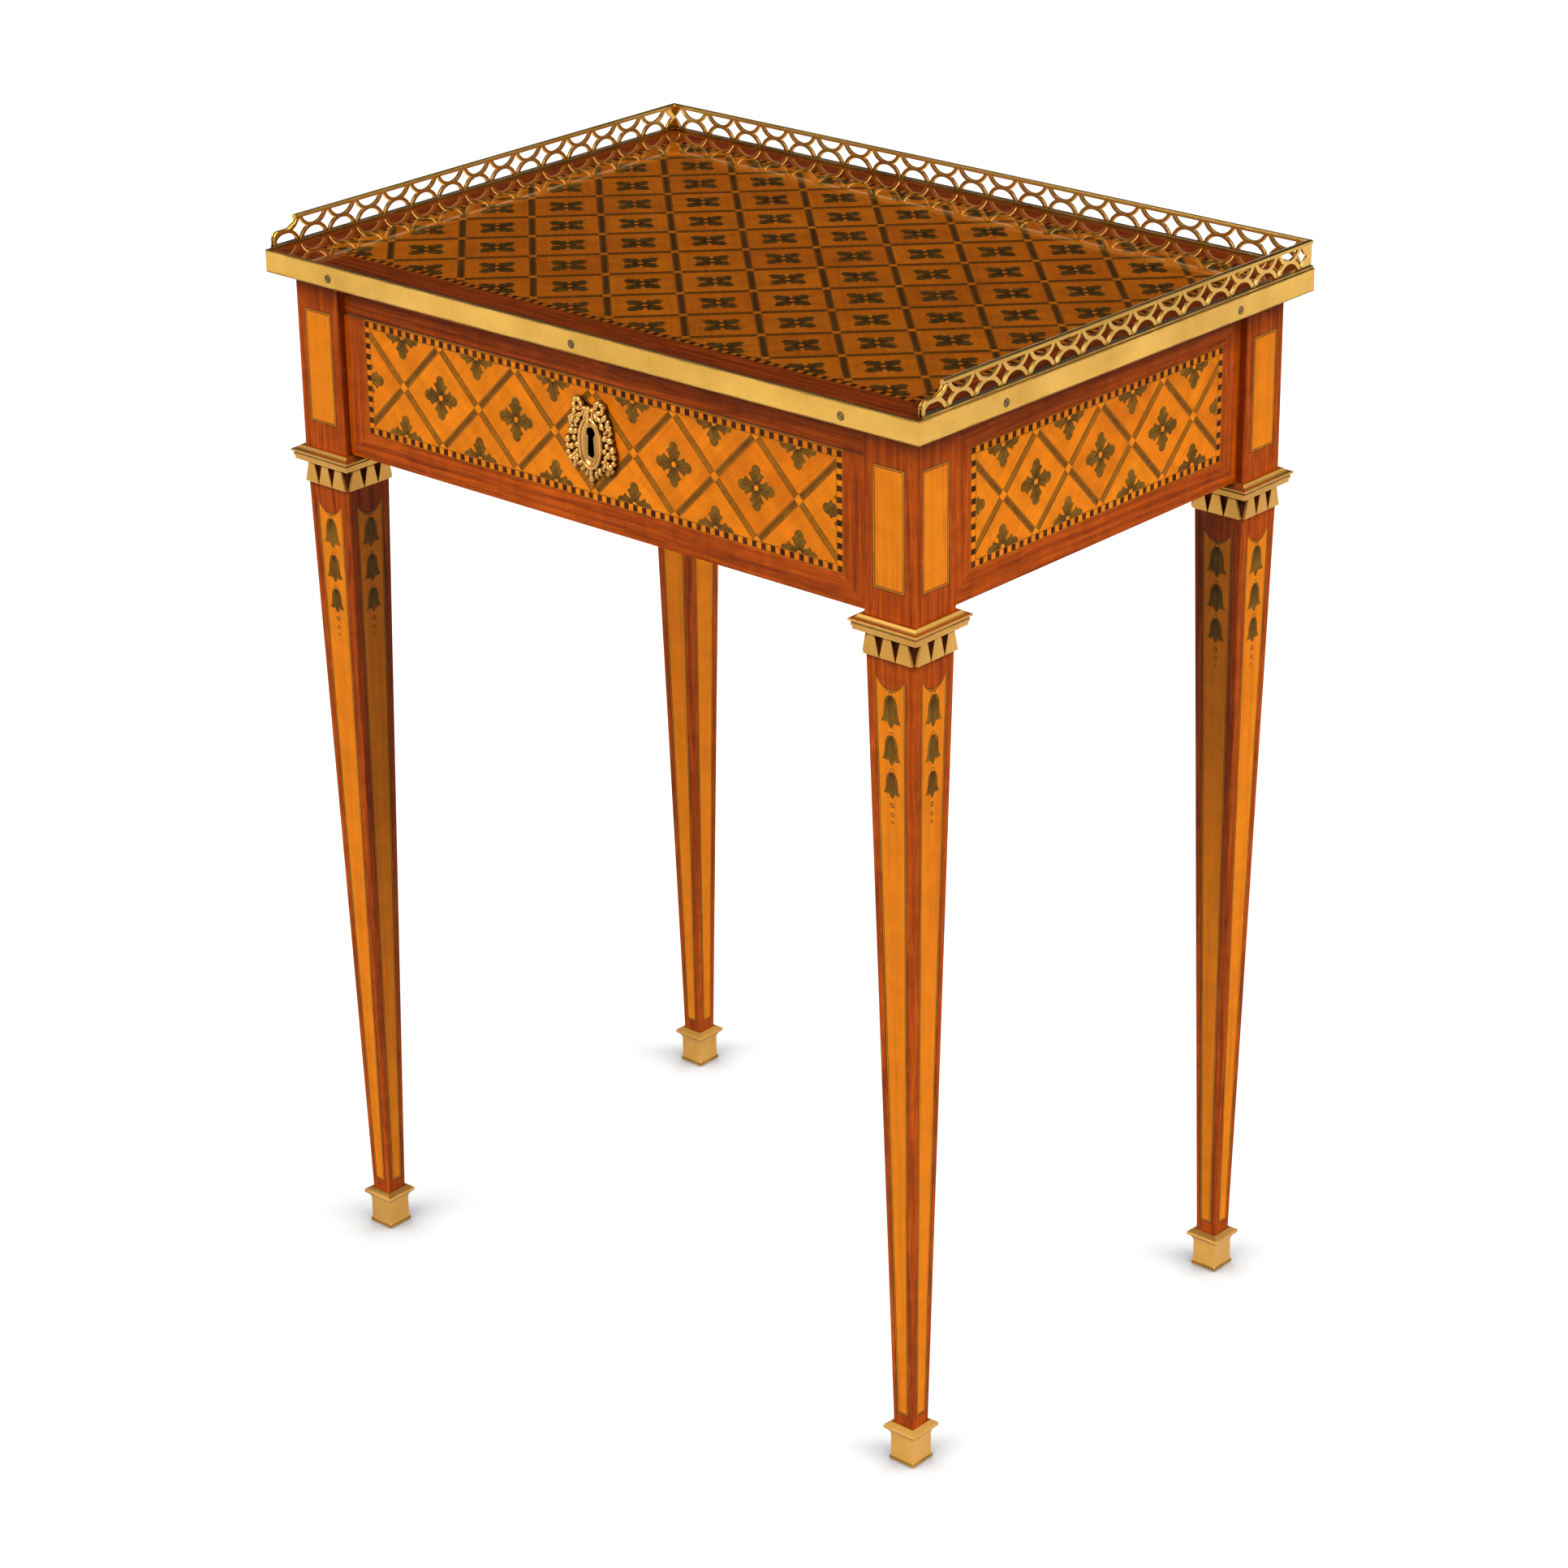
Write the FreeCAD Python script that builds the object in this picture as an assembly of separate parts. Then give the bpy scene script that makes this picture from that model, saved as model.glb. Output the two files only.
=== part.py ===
import FreeCAD, Part
import math
import os

# A small writing table with a marquetry top, a pierced brass gallery, one frieze drawer with a lock,
# and four tapered legs with toothed brass collars and brass sabots.
# Millimetres. +Z is up, the drawer opens towards -Y, and the origin is on the floor under the middle
# of the top.

# The whole table
TOP_WIDTH = 550.0
TOP_DEPTH = 391.0
TOP_HEIGHT = 717.3
TOP_THICKNESS = 15.0
FRIEZE_HEIGHT = 117.8
VENEER = 1.2
OVERRUN = 2.0
SCREW_SIDES = 8
ARC_FACETS = 4
GLUE_GAP = 0.1
RUNNING_GAP = 0.3
SHADOW_GAP = 1.0

# Top and edge band
BAND_THICKNESS = 2.2
BAND_EDGE_ROUND = 0.6
BAND_CORNER_ROUND = 1.2
TOP_BANDING_WIDTH = 22.8
CHECKER_WIDTH = 5.2
BAND_SCREW_FRONT_REACH = 216.0
BAND_SCREW_SIDE_REACH = 116.0
BAND_SCREW_RISE = 6.2
BAND_SCREW_HEAD_RADIUS = 2.8
BAND_SCREW_SHANK_RADIUS = 1.2
BAND_SCREW_LENGTH = 13.0

# Gallery
GALLERY_INSET = 3.0
GALLERY_END_SETBACK = 4.6
GALLERY_PLATE = 1.9
GALLERY_RAIL_WIDTH = 4.2
GALLERY_RAIL_HEIGHT = 1.7
GALLERY_RIM_WIDTH = 3.4
GALLERY_RIM_HEIGHT = 2.9
GALLERY_PIERCED_HEIGHT = 14.1
GALLERY_SIDE_CELLS = 14
GALLERY_BACK_CELLS = 21
GALLERY_OPENING_WIDTH = 18.8
GALLERY_BOWL_DEPTH = 5.6
GALLERY_ARCH_RISE = 6.0
GALLERY_STRAP = 2.8
GALLERY_END_CENTRE = 11.0
GALLERY_END_ROUND = 4.5
GALLERY_END_STRAP = 3.4
GALLERY_END_BAND = 2.6
GALLERY_RING_SIDES = 16
GALLERY_SIDE_CORNER = 10.0
GALLERY_BACK_CORNER = 6.3

# Legs
BLOCK_SIZE = 39.0
OVERHANG_SIDE = 14.0
OVERHANG_FRONT = 12.5
LEG_TOP_SIZE = 38.6
LEG_FOOT_SIZE = 15.0
ARRIS_ROUND = 1.2
INLAY_DEPTH = 0.9
BLOCK_PANEL_WIDTH = 24.0
LEG_PANEL_TOP_WIDTH = 23.2
LEG_PANEL_FOOT_WIDTH = 8.4
LEG_PANEL_BELOW_COLLAR = 12.0
LEG_PANEL_ABOVE_SABOT = 8.5
LEG_PANEL_DIP = 8.0

# Collars
COLLAR_REACH = 7.1
COLLAR_HEIGHT = 9.7
TOOTH_COUNT = 3
TOOTH_HEIGHT = 14.9
TOOTH_TOP_WIDTH = 5.0
TOOTH_FOOT_WIDTH = 12.3
TOOTH_GAP = 0.3
TOOTH_REACH = 2.0
TOOTH_ROOT = 2.4
# Points of the collar's profile from the ledge down: share of its reach, then share of its height.
COLLAR_LEDGE_SHARES = (0.28, 0.0)
COLLAR_ROLL_SHARES = (0.37, 0.07)
COLLAR_HOLLOW_SHARES = (0.55, 0.21)
COLLAR_BEAD_TOP_SHARES = (0.87, 0.25)
COLLAR_BEAD_NOSE_SHARES = (1.0, 0.35)
COLLAR_BEAD_FOOT_SHARES = (0.87, 0.45)
COLLAR_GROOVE_SHARES = (0.74, 0.5)
COLLAR_FASCIA_TOP_SHARES = (0.8, 0.55)
COLLAR_FASCIA_FOOT_SHARES = (0.8, 0.76)
COLLAR_STEP_SHARES = (0.7, 0.8)

# Sabots
SABOT_HEIGHT = 27.5
SABOT_FLOOR = 2.5
SABOT_FLANGE_WIDTH = 25.3
SABOT_BODY_WIDTH = 18.4
SABOT_BASE_WIDTH = 20.0
SABOT_LIP_WIDTH = 17.6
SABOT_CORE_WIDTH = 9.2
# Heights on the sabot as shares of its height.
SABOT_PLINTH_SHARE = 0.07
SABOT_COVE_SHARE = 0.13
SABOT_NECK_SHARE = 0.64
SABOT_COVE_MIDDLE_SHARE = 0.76
SABOT_FLANGE_SHARE = 0.84
SABOT_FLANGE_TOP_SHARE = 0.91
SABOT_COVE_DEPTH_SHARE = 0.3

# Frieze
BORDER_BELOW = 18.5
BORDER_SIDE = 18.8
BORDER_ABOVE = 22.9
APRON_RECESS = 5.0
APRON_CORE = 17.0
TENON_THICKNESS = 8.0
TENON_SHOULDER = 14.0
TENON_SPACING = 3.0
RAIL_RECESS = 6.0
RAIL_HEIGHT = 21.3
RAIL_THICKNESS = 18.0
RAIL_TENON_SHOULDER = 3.0
BEARER_HEIGHT = 11.2
BEARER_TENON_SHOULDER = 2.6

# Drawer
DRAWER_RECESS = 4.5
DRAWER_SIDE_GAP = 0.6
DRAWER_FRONT_CORE = 16.8
DRAWER_CORNER_ROUND = 3.5
DRAWER_BACK_CLEARANCE = 20.3
DRAWER_SIDE_THICKNESS = 9.0
DRAWER_SIDE_INSET = 0.4
DRAWER_BACK_THICKNESS = 8.0
DRAWER_BACK_DROP = 6.0
DRAWER_BOTTOM_THICKNESS = 5.0
DRAWER_BOTTOM_RISE = 3.0
DRAWER_GROOVE_DEPTH = 4.5
DOVETAIL_COUNT = 3
DOVETAIL_LENGTH = 11.0
DOVETAIL_NECK = 10.0
DOVETAIL_END = 14.0
DOVETAIL_MARGIN = 6.0
RUNNER_WIDTH = 32.0
GUIDE_HEIGHT = 16.0
KICKER_WIDTH = 34.0

# Blocks and screws under the top
GLUE_BLOCK_LENGTH = 45.0
GLUE_BLOCK_SIZE = 12.0
GLUE_BLOCK_SPACING = 130.0
TOP_SCREW_HEAD_RADIUS = 3.4
TOP_SCREW_HEAD_DEPTH = 2.2
TOP_SCREW_SHANK_RADIUS = 1.7
TOP_SCREW_BITE = 8.0
TOP_SCREW_KICKER_REACH = 92.0

# Lock
LOCK_WIDTH = 44.0
LOCK_BELOW_KEY = 23.0
LOCK_DEPTH = 9.0
LOCK_PLATE = 1.5
LOCK_WALL = 1.2
LOCK_BOX_INSET = 5.0
BOLT_WIDTH = 14.0
BOLT_HEIGHT = 24.0
BOLT_CLEARANCE = 0.3
BOLT_THROW = 6.0
KEY_POST_RADIUS = 1.1
KEYHOLE_RADIUS = 3.4
KEYHOLE_NECK_WIDTH = 4.0
KEYHOLE_FOOT_WIDTH = 5.2
KEYHOLE_DROP = 16.1
KEYHOLE_RISE = 6.8
LOCK_SCREW_HEAD_RADIUS = 1.6
LOCK_SCREW_HEAD_DEPTH = 0.9
LOCK_SCREW_SHANK_RADIUS = 0.8
LOCK_SCREW_LENGTH = 5.5

# Escutcheon
ESCUTCHEON_WIDTH = 43.0
ESCUTCHEON_HEIGHT = 58.0
ESCUTCHEON_LIFT = 1.3
ESCUTCHEON_PLATE = 1.3
SHIELD_WIDTH = 21.0
SHIELD_HEIGHT = 37.0
SHIELD_RELIEF = 4.8
SHIELD_RIM = 3.0
SHIELD_DISH = 1.2
SHIELD_SIDES = 18
BUD_SIDES = 8
BOW_LOOP_RADIUS = 5.2
BOW_EYE_RADIUS = 2.2
BOW_RELIEF = 3.6
BOW_KNOT_RADIUS = 2.8
BERRY_RADIUS = 2.2
BERRY_SWELL_SHARE = 0.3
LEAF_RADIUS = 3.4
DROP_RADIUS = 1.9
# Right half of the backing's edge from the top, as shares of its half width and half height.
BACKING_SHARES = (
    (0.0, 0.8), (0.19, 0.89), (0.4, 1.0), (0.6, 0.9), (0.65, 0.75), (0.57, 0.66), (0.72, 0.59),
    (0.81, 0.44), (0.87, 0.23), (0.95, 0.04), (1.0, -0.15), (1.0, -0.36), (0.91, -0.49), (0.74, -0.7),
    (0.61, -0.68), (0.57, -0.51), (0.44, -0.68), (0.23, -0.82), (0.1, -1.0),
)
BOW_PLACE_SHARES = (0.42, 0.82)
KNOT_SHARE = 0.74
BERRY_PLACE_SHARES = (
    (0.66, 0.5), (0.77, 0.29), (0.76, 0.11), (0.88, -0.07), (0.88, -0.25), (0.82, -0.42),
    (0.63, -0.34), (0.68, -0.57),
)
LEAF_PLACE_SHARES = ((0.0, -0.7), (0.31, -0.63), (0.46, 0.41))

# Places that follow from the sizes
HALF_WIDTH = TOP_WIDTH / 2
HALF_DEPTH = TOP_DEPTH / 2
UNDER_TOP = TOP_HEIGHT - TOP_THICKNESS
FRIEZE_BOTTOM = UNDER_TOP - FRIEZE_HEIGHT
CORE_HALF_WIDTH = HALF_WIDTH - BAND_THICKNESS
CORE_HALF_DEPTH = HALF_DEPTH - BAND_THICKNESS
CORE_TOP = TOP_HEIGHT - VENEER
BLOCK_HALF = BLOCK_SIZE / 2
LEG_X = HALF_WIDTH - OVERHANG_SIDE - BLOCK_HALF
LEG_Y = HALF_DEPTH - OVERHANG_FRONT - BLOCK_HALF
INNER_X = LEG_X - BLOCK_HALF
INNER_Y = LEG_Y - BLOCK_HALF
OUTER_X = LEG_X + BLOCK_HALF
OUTER_Y = LEG_Y + BLOCK_HALF
LEG_SLOPE = (LEG_TOP_SIZE - LEG_FOOT_SIZE) / 2 / (FRIEZE_BOTTOM - SABOT_FLOOR)
COLLAR_FOOT = FRIEZE_BOTTOM - COLLAR_HEIGHT
TEETH_FOOT = COLLAR_FOOT - TOOTH_HEIGHT
ZONE_BOTTOM = FRIEZE_BOTTOM + BORDER_BELOW
ZONE_TOP = UNDER_TOP - BORDER_ABOVE
APRON_FACE_X = OUTER_X - APRON_RECESS
APRON_FACE_Y = OUTER_Y - APRON_RECESS
APRON_INNER_X = APRON_FACE_X - VENEER - APRON_CORE
APRON_INNER_Y = APRON_FACE_Y - VENEER - APRON_CORE
TENON_LENGTH = BLOCK_SIZE - APRON_RECESS - VENEER - (APRON_CORE + TENON_THICKNESS) / 2 - TENON_SPACING
RAIL_FRONT = -(OUTER_Y - RAIL_RECESS)
RAIL_BACK = RAIL_FRONT + RAIL_THICKNESS
RAIL_UNDERSIDE = UNDER_TOP - RAIL_HEIGHT
DRAWER_FACE = -(OUTER_Y - DRAWER_RECESS)
DRAWER_FRONT_BACK = DRAWER_FACE + VENEER + DRAWER_FRONT_CORE
DRAWER_HALF = INNER_X - DRAWER_SIDE_GAP
DRAWER_BOTTOM_EDGE = FRIEZE_BOTTOM + RUNNING_GAP
DRAWER_TOP_EDGE = RAIL_UNDERSIDE - SHADOW_GAP
RUNNER_TOP = FRIEZE_BOTTOM + BEARER_HEIGHT
SIDE_BOTTOM = RUNNER_TOP + RUNNING_GAP
SIDE_OUTER = DRAWER_HALF - DRAWER_SIDE_INSET
SIDE_INNER = SIDE_OUTER - DRAWER_SIDE_THICKNESS
DRAWER_END = APRON_INNER_Y - DRAWER_BACK_CLEARANCE
DRAWER_BACK_FRONT = DRAWER_END - DRAWER_BACK_THICKNESS
PANEL_UNDERSIDE = SIDE_BOTTOM + DRAWER_BOTTOM_RISE
PANEL_TOP = PANEL_UNDERSIDE + DRAWER_BOTTOM_THICKNESS
ESCUTCHEON_CENTRE = (ZONE_BOTTOM + ZONE_TOP) / 2
LOCK_INNER = DRAWER_FRONT_BACK - LOCK_DEPTH
BOLT_Y_LOW = LOCK_INNER + LOCK_WALL + BOLT_CLEARANCE
BOLT_Y_HIGH = DRAWER_FRONT_BACK - LOCK_PLATE - BOLT_CLEARANCE
BOLT_TOP = DRAWER_TOP_EDGE - BOLT_CLEARANCE
KEYHOLE_CENTRE = ESCUTCHEON_CENTRE + KEYHOLE_RISE
LOCK_FOOT = KEYHOLE_CENTRE - LOCK_BELOW_KEY
GALLERY_X = HALF_WIDTH - GALLERY_INSET
GALLERY_Y = HALF_DEPTH - GALLERY_INSET
PLATE_BOTTOM = TOP_HEIGHT + GALLERY_RAIL_HEIGHT
PLATE_TOP = PLATE_BOTTOM + GALLERY_PIERCED_HEIGHT
BOWL_RADIUS = GALLERY_OPENING_WIDTH ** 2 / (8 * GALLERY_BOWL_DEPTH) + GALLERY_BOWL_DEPTH / 2
ARCH_RADIUS = GALLERY_OPENING_WIDTH ** 2 / (8 * GALLERY_ARCH_RISE) + GALLERY_ARCH_RISE / 2
BOWL_CENTRE = PLATE_TOP - GALLERY_BOWL_DEPTH + BOWL_RADIUS
ARCH_CENTRE = PLATE_BOTTOM + GALLERY_ARCH_RISE - ARCH_RADIUS


def vec(x=0.0, y=0.0, z=0.0):
    """A point or direction."""
    return FreeCAD.Vector(x, y, z)


UP = vec(z=1)
CENTRE = vec()


def upright(x, z):
    """A point of an outline that stands in the XZ plane."""
    return vec(x=x, z=z)


def flat(x, y):
    """A point of an outline that lies in the XY plane."""
    return vec(x=x, y=y)


def block(x_low, x_high, y_low, y_high, z_low, z_high):
    """A rectangular piece between two corners."""
    return Part.makeBox(x_high - x_low, y_high - y_low, z_high - z_low, vec(x_low, y_low, z_low))


def path_points(place, start, *steps):
    """Points of a path. A step is the next point, or the middle and end of an arc cut in facets."""
    points = [place(*start)]
    for step in steps:
        if isinstance(step[0], tuple):
            arc = Part.Arc(points[-1], place(*step[0]), place(*step[1])).toShape()
            points += arc.discretize(ARC_FACETS + 1)[1:]
        else:
            points.append(place(*step))
    return points


def outline(place, start, *steps):
    """A closed face with this path as its edge."""
    points = path_points(place, start, *steps)
    return Part.Face(Part.makePolygon(points + points[:1]))


def moved(shape, x=0.0, y=0.0, z=0.0):
    """A copy of a shape, moved."""
    copy = shape.copy()
    copy.translate(vec(x, y, z))
    return copy


def turned(shape, quarters):
    """A copy of a shape, turned about Z by quarter turns."""
    copy = shape.copy()
    copy.rotate(CENTRE, UP, 90 * quarters)
    return copy


def mirrored(shape):
    """A left-hand copy of a right-hand shape."""
    return shape.mirror(CENTRE, vec(x=1))


def joined(shapes):
    """Several solids fused into one, with the seams between flat faces removed."""
    return shapes[0].multiFuse(shapes[1:]).removeSplitter()


def mitre_wedge(half_along, half_across, out_low, out_high, z_low, z_high):
    """The space of one side of a mitred frame, on the -Y side of a rectangle."""
    low = out_low - OVERRUN
    high = out_high + OVERRUN
    face = outline(
        flat,
        (-half_along - high, -half_across - high),
        (half_along + high, -half_across - high),
        (half_along + low, -half_across - low),
        (-half_along - low, -half_across - low),
    )
    face.translate(vec(z=z_low - OVERRUN))
    return face.extrude(vec(z=z_high - z_low + 2 * OVERRUN))


def mitred_side(half_along, half_across, *profile):
    """One side of a mitred frame along X; the profile's points are (outwards, z)."""
    def place(out, z):
        return vec(y=-half_across - out, z=z)

    face = outline(place, *profile)
    box = face.BoundBox
    length = half_along - box.YMin
    face.translate(vec(x=-length))
    bar = face.extrude(vec(x=2 * length))
    out_low = -box.YMax - half_across
    out_high = -box.YMin - half_across
    return bar.common(mitre_wedge(half_along, half_across, out_low, out_high, box.ZMin, box.ZMax))


def mitred_frame(half_x, half_y, *profile):
    """The front, right, back and left sides of a mitred frame."""
    along_x = mitred_side(half_x, half_y, *profile)
    along_y = mitred_side(half_y, half_x, *profile)
    return [along_x, turned(along_y, 1), turned(along_x, 2), turned(along_y, 3)]


def many_sided(sides, radius_low, z_low, radius_high, z_high):
    """A straight or drafted piece round the Z axis with a many-sided outline."""
    turns = [2 * math.pi * (corner + 0.5) / sides for corner in range(sides)]

    def ring(radius, z):
        points = [vec(radius * math.cos(turn), radius * math.sin(turn), z) for turn in turns]
        return Part.makePolygon(points + points[:1])

    return Part.makeLoft([ring(radius_low, z_low), ring(radius_high, z_high)], True, True)


def screw(head_radius, head_depth, shank_radius, length, grow=0.0):
    """A countersunk screw, or with growth its hole: its head at the origin, its shank to -Z."""
    slim = shank_radius + grow
    head = many_sided(SCREW_SIDES, slim, -head_depth, head_radius + grow, 0.0)
    shank = many_sided(SCREW_SIDES, slim, -length - grow, slim, -head_depth)
    return joined([head, shank])


def pointed(shape, direction, x, y, z):
    """A copy of a shape made along +Z, turned to a direction and moved to its place."""
    copy = shape.copy()
    copy.Placement = FreeCAD.Placement(vec(x, y, z), FreeCAD.Rotation(UP, direction))
    return copy


def band_screws(grow=0.0):
    """The ten screws of the edge band, three along the front and back and two on each side."""
    one = screw(
        BAND_SCREW_HEAD_RADIUS, BAND_THICKNESS, BAND_SCREW_SHANK_RADIUS, BAND_SCREW_LENGTH, grow
    )
    height = UNDER_TOP + BAND_SCREW_RISE
    screws = []
    for side in (-1, 1):
        for x in (-BAND_SCREW_FRONT_REACH, 0.0, BAND_SCREW_FRONT_REACH):
            screws.append(pointed(one, vec(y=side), x, side * HALF_DEPTH, height))
        for y in (-BAND_SCREW_SIDE_REACH, BAND_SCREW_SIDE_REACH):
            screws.append(pointed(one, vec(x=side), side * HALF_WIDTH, y, height))
    return Part.makeCompound(screws)


def edge_band():
    """The four brass strips round the edge of the top, mitred, with their edges eased."""
    r = BAND_EDGE_ROUND
    bow = r * (1 - math.sqrt(0.5))
    sides = mitred_frame(
        HALF_WIDTH,
        HALF_DEPTH,
        (-BAND_THICKNESS, UNDER_TOP),
        (-r, UNDER_TOP),
        ((-bow, UNDER_TOP + bow), (0.0, UNDER_TOP + r)),
        (0.0, TOP_HEIGHT - r),
        ((-bow, TOP_HEIGHT - bow), (-r, TOP_HEIGHT)),
        (-BAND_THICKNESS, TOP_HEIGHT),
    )
    rounded = block(-HALF_WIDTH, HALF_WIDTH, -HALF_DEPTH, HALF_DEPTH, UNDER_TOP, TOP_HEIGHT)
    corners = [edge for edge in rounded.Edges if abs(edge.BoundBox.ZLength - TOP_THICKNESS) < r]
    rounded = rounded.makeFillet(BAND_CORNER_ROUND, corners)
    holes = band_screws(GLUE_GAP)
    return [side.common(rounded).cut(holes) for side in sides]


def top_core():
    """The board of the top, inside the edge band and under the veneer."""
    core = block(
        -CORE_HALF_WIDTH, CORE_HALF_WIDTH, -CORE_HALF_DEPTH, CORE_HALF_DEPTH, UNDER_TOP, CORE_TOP
    )
    return core.cut(band_screws(GLUE_GAP)).cut(top_screws(GLUE_GAP))


def veneer_frame(half_x, half_y, width):
    """Four mitred strips of veneer that lie on the core, inside a rectangle."""
    return Part.makeCompound(mitred_frame(
        half_x, half_y, (-width, CORE_TOP), (0.0, CORE_TOP), (0.0, TOP_HEIGHT), (-width, TOP_HEIGHT)
    ))


def top_veneers():
    """Crossbanding, checker stringing and marquetry sheet of the top."""
    checker_x = CORE_HALF_WIDTH - TOP_BANDING_WIDTH
    checker_y = CORE_HALF_DEPTH - TOP_BANDING_WIDTH
    field_x = checker_x - CHECKER_WIDTH
    field_y = checker_y - CHECKER_WIDTH
    return {
        "top_crossbanding": veneer_frame(CORE_HALF_WIDTH, CORE_HALF_DEPTH, TOP_BANDING_WIDTH),
        "top_checker_stringing": veneer_frame(checker_x, checker_y, CHECKER_WIDTH),
        "top_marquetry": block(-field_x, field_x, -field_y, field_y, CORE_TOP, TOP_HEIGHT),
    }


def disc(x, z, radius):
    """A many-sided round face in the XZ plane."""
    turns = [2 * math.pi * corner / GALLERY_RING_SIDES for corner in range(GALLERY_RING_SIDES)]
    return outline(upright, *[(x + radius * math.cos(turn), z + radius * math.sin(turn)) for turn in turns])


def bowl_opening():
    """The opening under the rim: flat above, round below."""
    half = GALLERY_OPENING_WIDTH / 2
    foot = PLATE_TOP - GALLERY_BOWL_DEPTH
    return outline(upright, (-half, PLATE_TOP), ((0.0, foot), (half, PLATE_TOP)))


def arch_opening():
    """The opening over the base rail: flat below, round above."""
    half = GALLERY_OPENING_WIDTH / 2
    crown = PLATE_BOTTOM + GALLERY_ARCH_RISE
    return outline(upright, (-half, PLATE_BOTTOM), ((0.0, crown), (half, PLATE_BOTTOM)))


def diamond_opening(pitch):
    """The opening between four ring straps, centred at x = 0."""
    half = pitch / 2
    field = outline(
        upright, (-half, PLATE_BOTTOM), (half, PLATE_BOTTOM), (half, PLATE_TOP), (-half, PLATE_TOP)
    )
    rings = []
    for x in (-half, half):
        rings.append(disc(x, BOWL_CENTRE, BOWL_RADIUS + GALLERY_STRAP))
        rings.append(disc(x, ARCH_CENTRE, ARCH_RADIUS + GALLERY_STRAP))
    return field.cut(rings)


def openings(first, pitch, cells):
    """All openings of a run of cells; the first cell is centred at the place given."""
    shapes = []
    diamond = diamond_opening(pitch)
    for index in range(cells):
        place = first + index * pitch
        shapes.append(moved(bowl_opening(), x=place))
        shapes.append(moved(arch_opening(), x=place))
    for index in range(cells + 1):
        shapes.append(moved(diamond, x=first + (index - 0.5) * pitch))
    return shapes


def end_opening():
    """The low arch in the stepped front end of a side gallery."""
    arch = moved(arch_opening(), x=GALLERY_END_CENTRE)
    right = GALLERY_END_CENTRE + GALLERY_OPENING_WIDTH
    return arch.common(outline(
        upright,
        (GALLERY_END_STRAP, PLATE_BOTTOM),
        (right, PLATE_BOTTOM),
        (right, PLATE_TOP),
        (GALLERY_END_STRAP, PLATE_TOP),
    ))


def end_path():
    """The edge of a side gallery's front end: up, round the corner, and in an ogee to the rim."""
    shoulder = PLATE_TOP - GALLERY_BOWL_DEPTH
    half = GALLERY_OPENING_WIDTH / 2
    r = GALLERY_END_ROUND
    bow = r * (1 - math.sqrt(0.5))
    turn = math.asin(half / BOWL_RADIUS) / 2
    middle = (
        GALLERY_END_CENTRE + BOWL_RADIUS * math.sin(turn),
        BOWL_CENTRE - BOWL_RADIUS * math.cos(turn),
    )
    return path_points(
        upright,
        (0.0, PLATE_BOTTOM),
        (0.0, shoulder - r),
        ((bow, shoulder - bow), (r, shoulder)),
        (GALLERY_END_CENTRE, shoulder),
        (middle, (GALLERY_END_CENTRE + half, PLATE_TOP)),
    )


def ribbon(path, thickness):
    """A strip of even thickness on the right-hand side of a path in the XZ plane."""
    inner = []
    for index, point in enumerate(path):
        before = path[max(index - 1, 0)]
        after = path[min(index + 1, len(path) - 1)]
        run = (after - before).normalize()
        inner.append(point + vec(x=run.z, z=-run.x) * thickness)
    return Part.Face(Part.makePolygon(path + inner[::-1] + path[:1]))


def side_plate_outline(run):
    """The plate of a side gallery, from its stepped front end to the back corner."""
    points = end_path() + [upright(run, PLATE_TOP), upright(run, PLATE_BOTTOM)]
    return Part.Face(Part.makePolygon(points + points[:1]))


def bar_along_x(start, end, *profile):
    """A moulding along X; the profile's points are (y, z)."""
    def place(y, z):
        return vec(x=start, y=y, z=z)

    return outline(place, *profile).extrude(vec(x=end - start))


def gallery_rail(start, end):
    """The square base rail that stands on the top."""
    half = GALLERY_RAIL_WIDTH / 2
    low = (-half, TOP_HEIGHT)
    return bar_along_x(start, end, low, (half, TOP_HEIGHT), (half, PLATE_BOTTOM), (-half, PLATE_BOTTOM))


def gallery_rim(start, end):
    """The rim moulding, flat below and rounded above."""
    half = GALLERY_RIM_WIDTH / 2
    crown = PLATE_TOP + GALLERY_RIM_HEIGHT
    side = crown - half / 2
    return bar_along_x(
        start, end, (-half, PLATE_TOP), (half, PLATE_TOP), (half, side), ((0.0, crown), (-half, side))
    )


def centred(face, width):
    """An upright face given a thickness, half to each side of its plane."""
    return moved(face.extrude(vec(y=width)), y=-width / 2)


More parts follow.
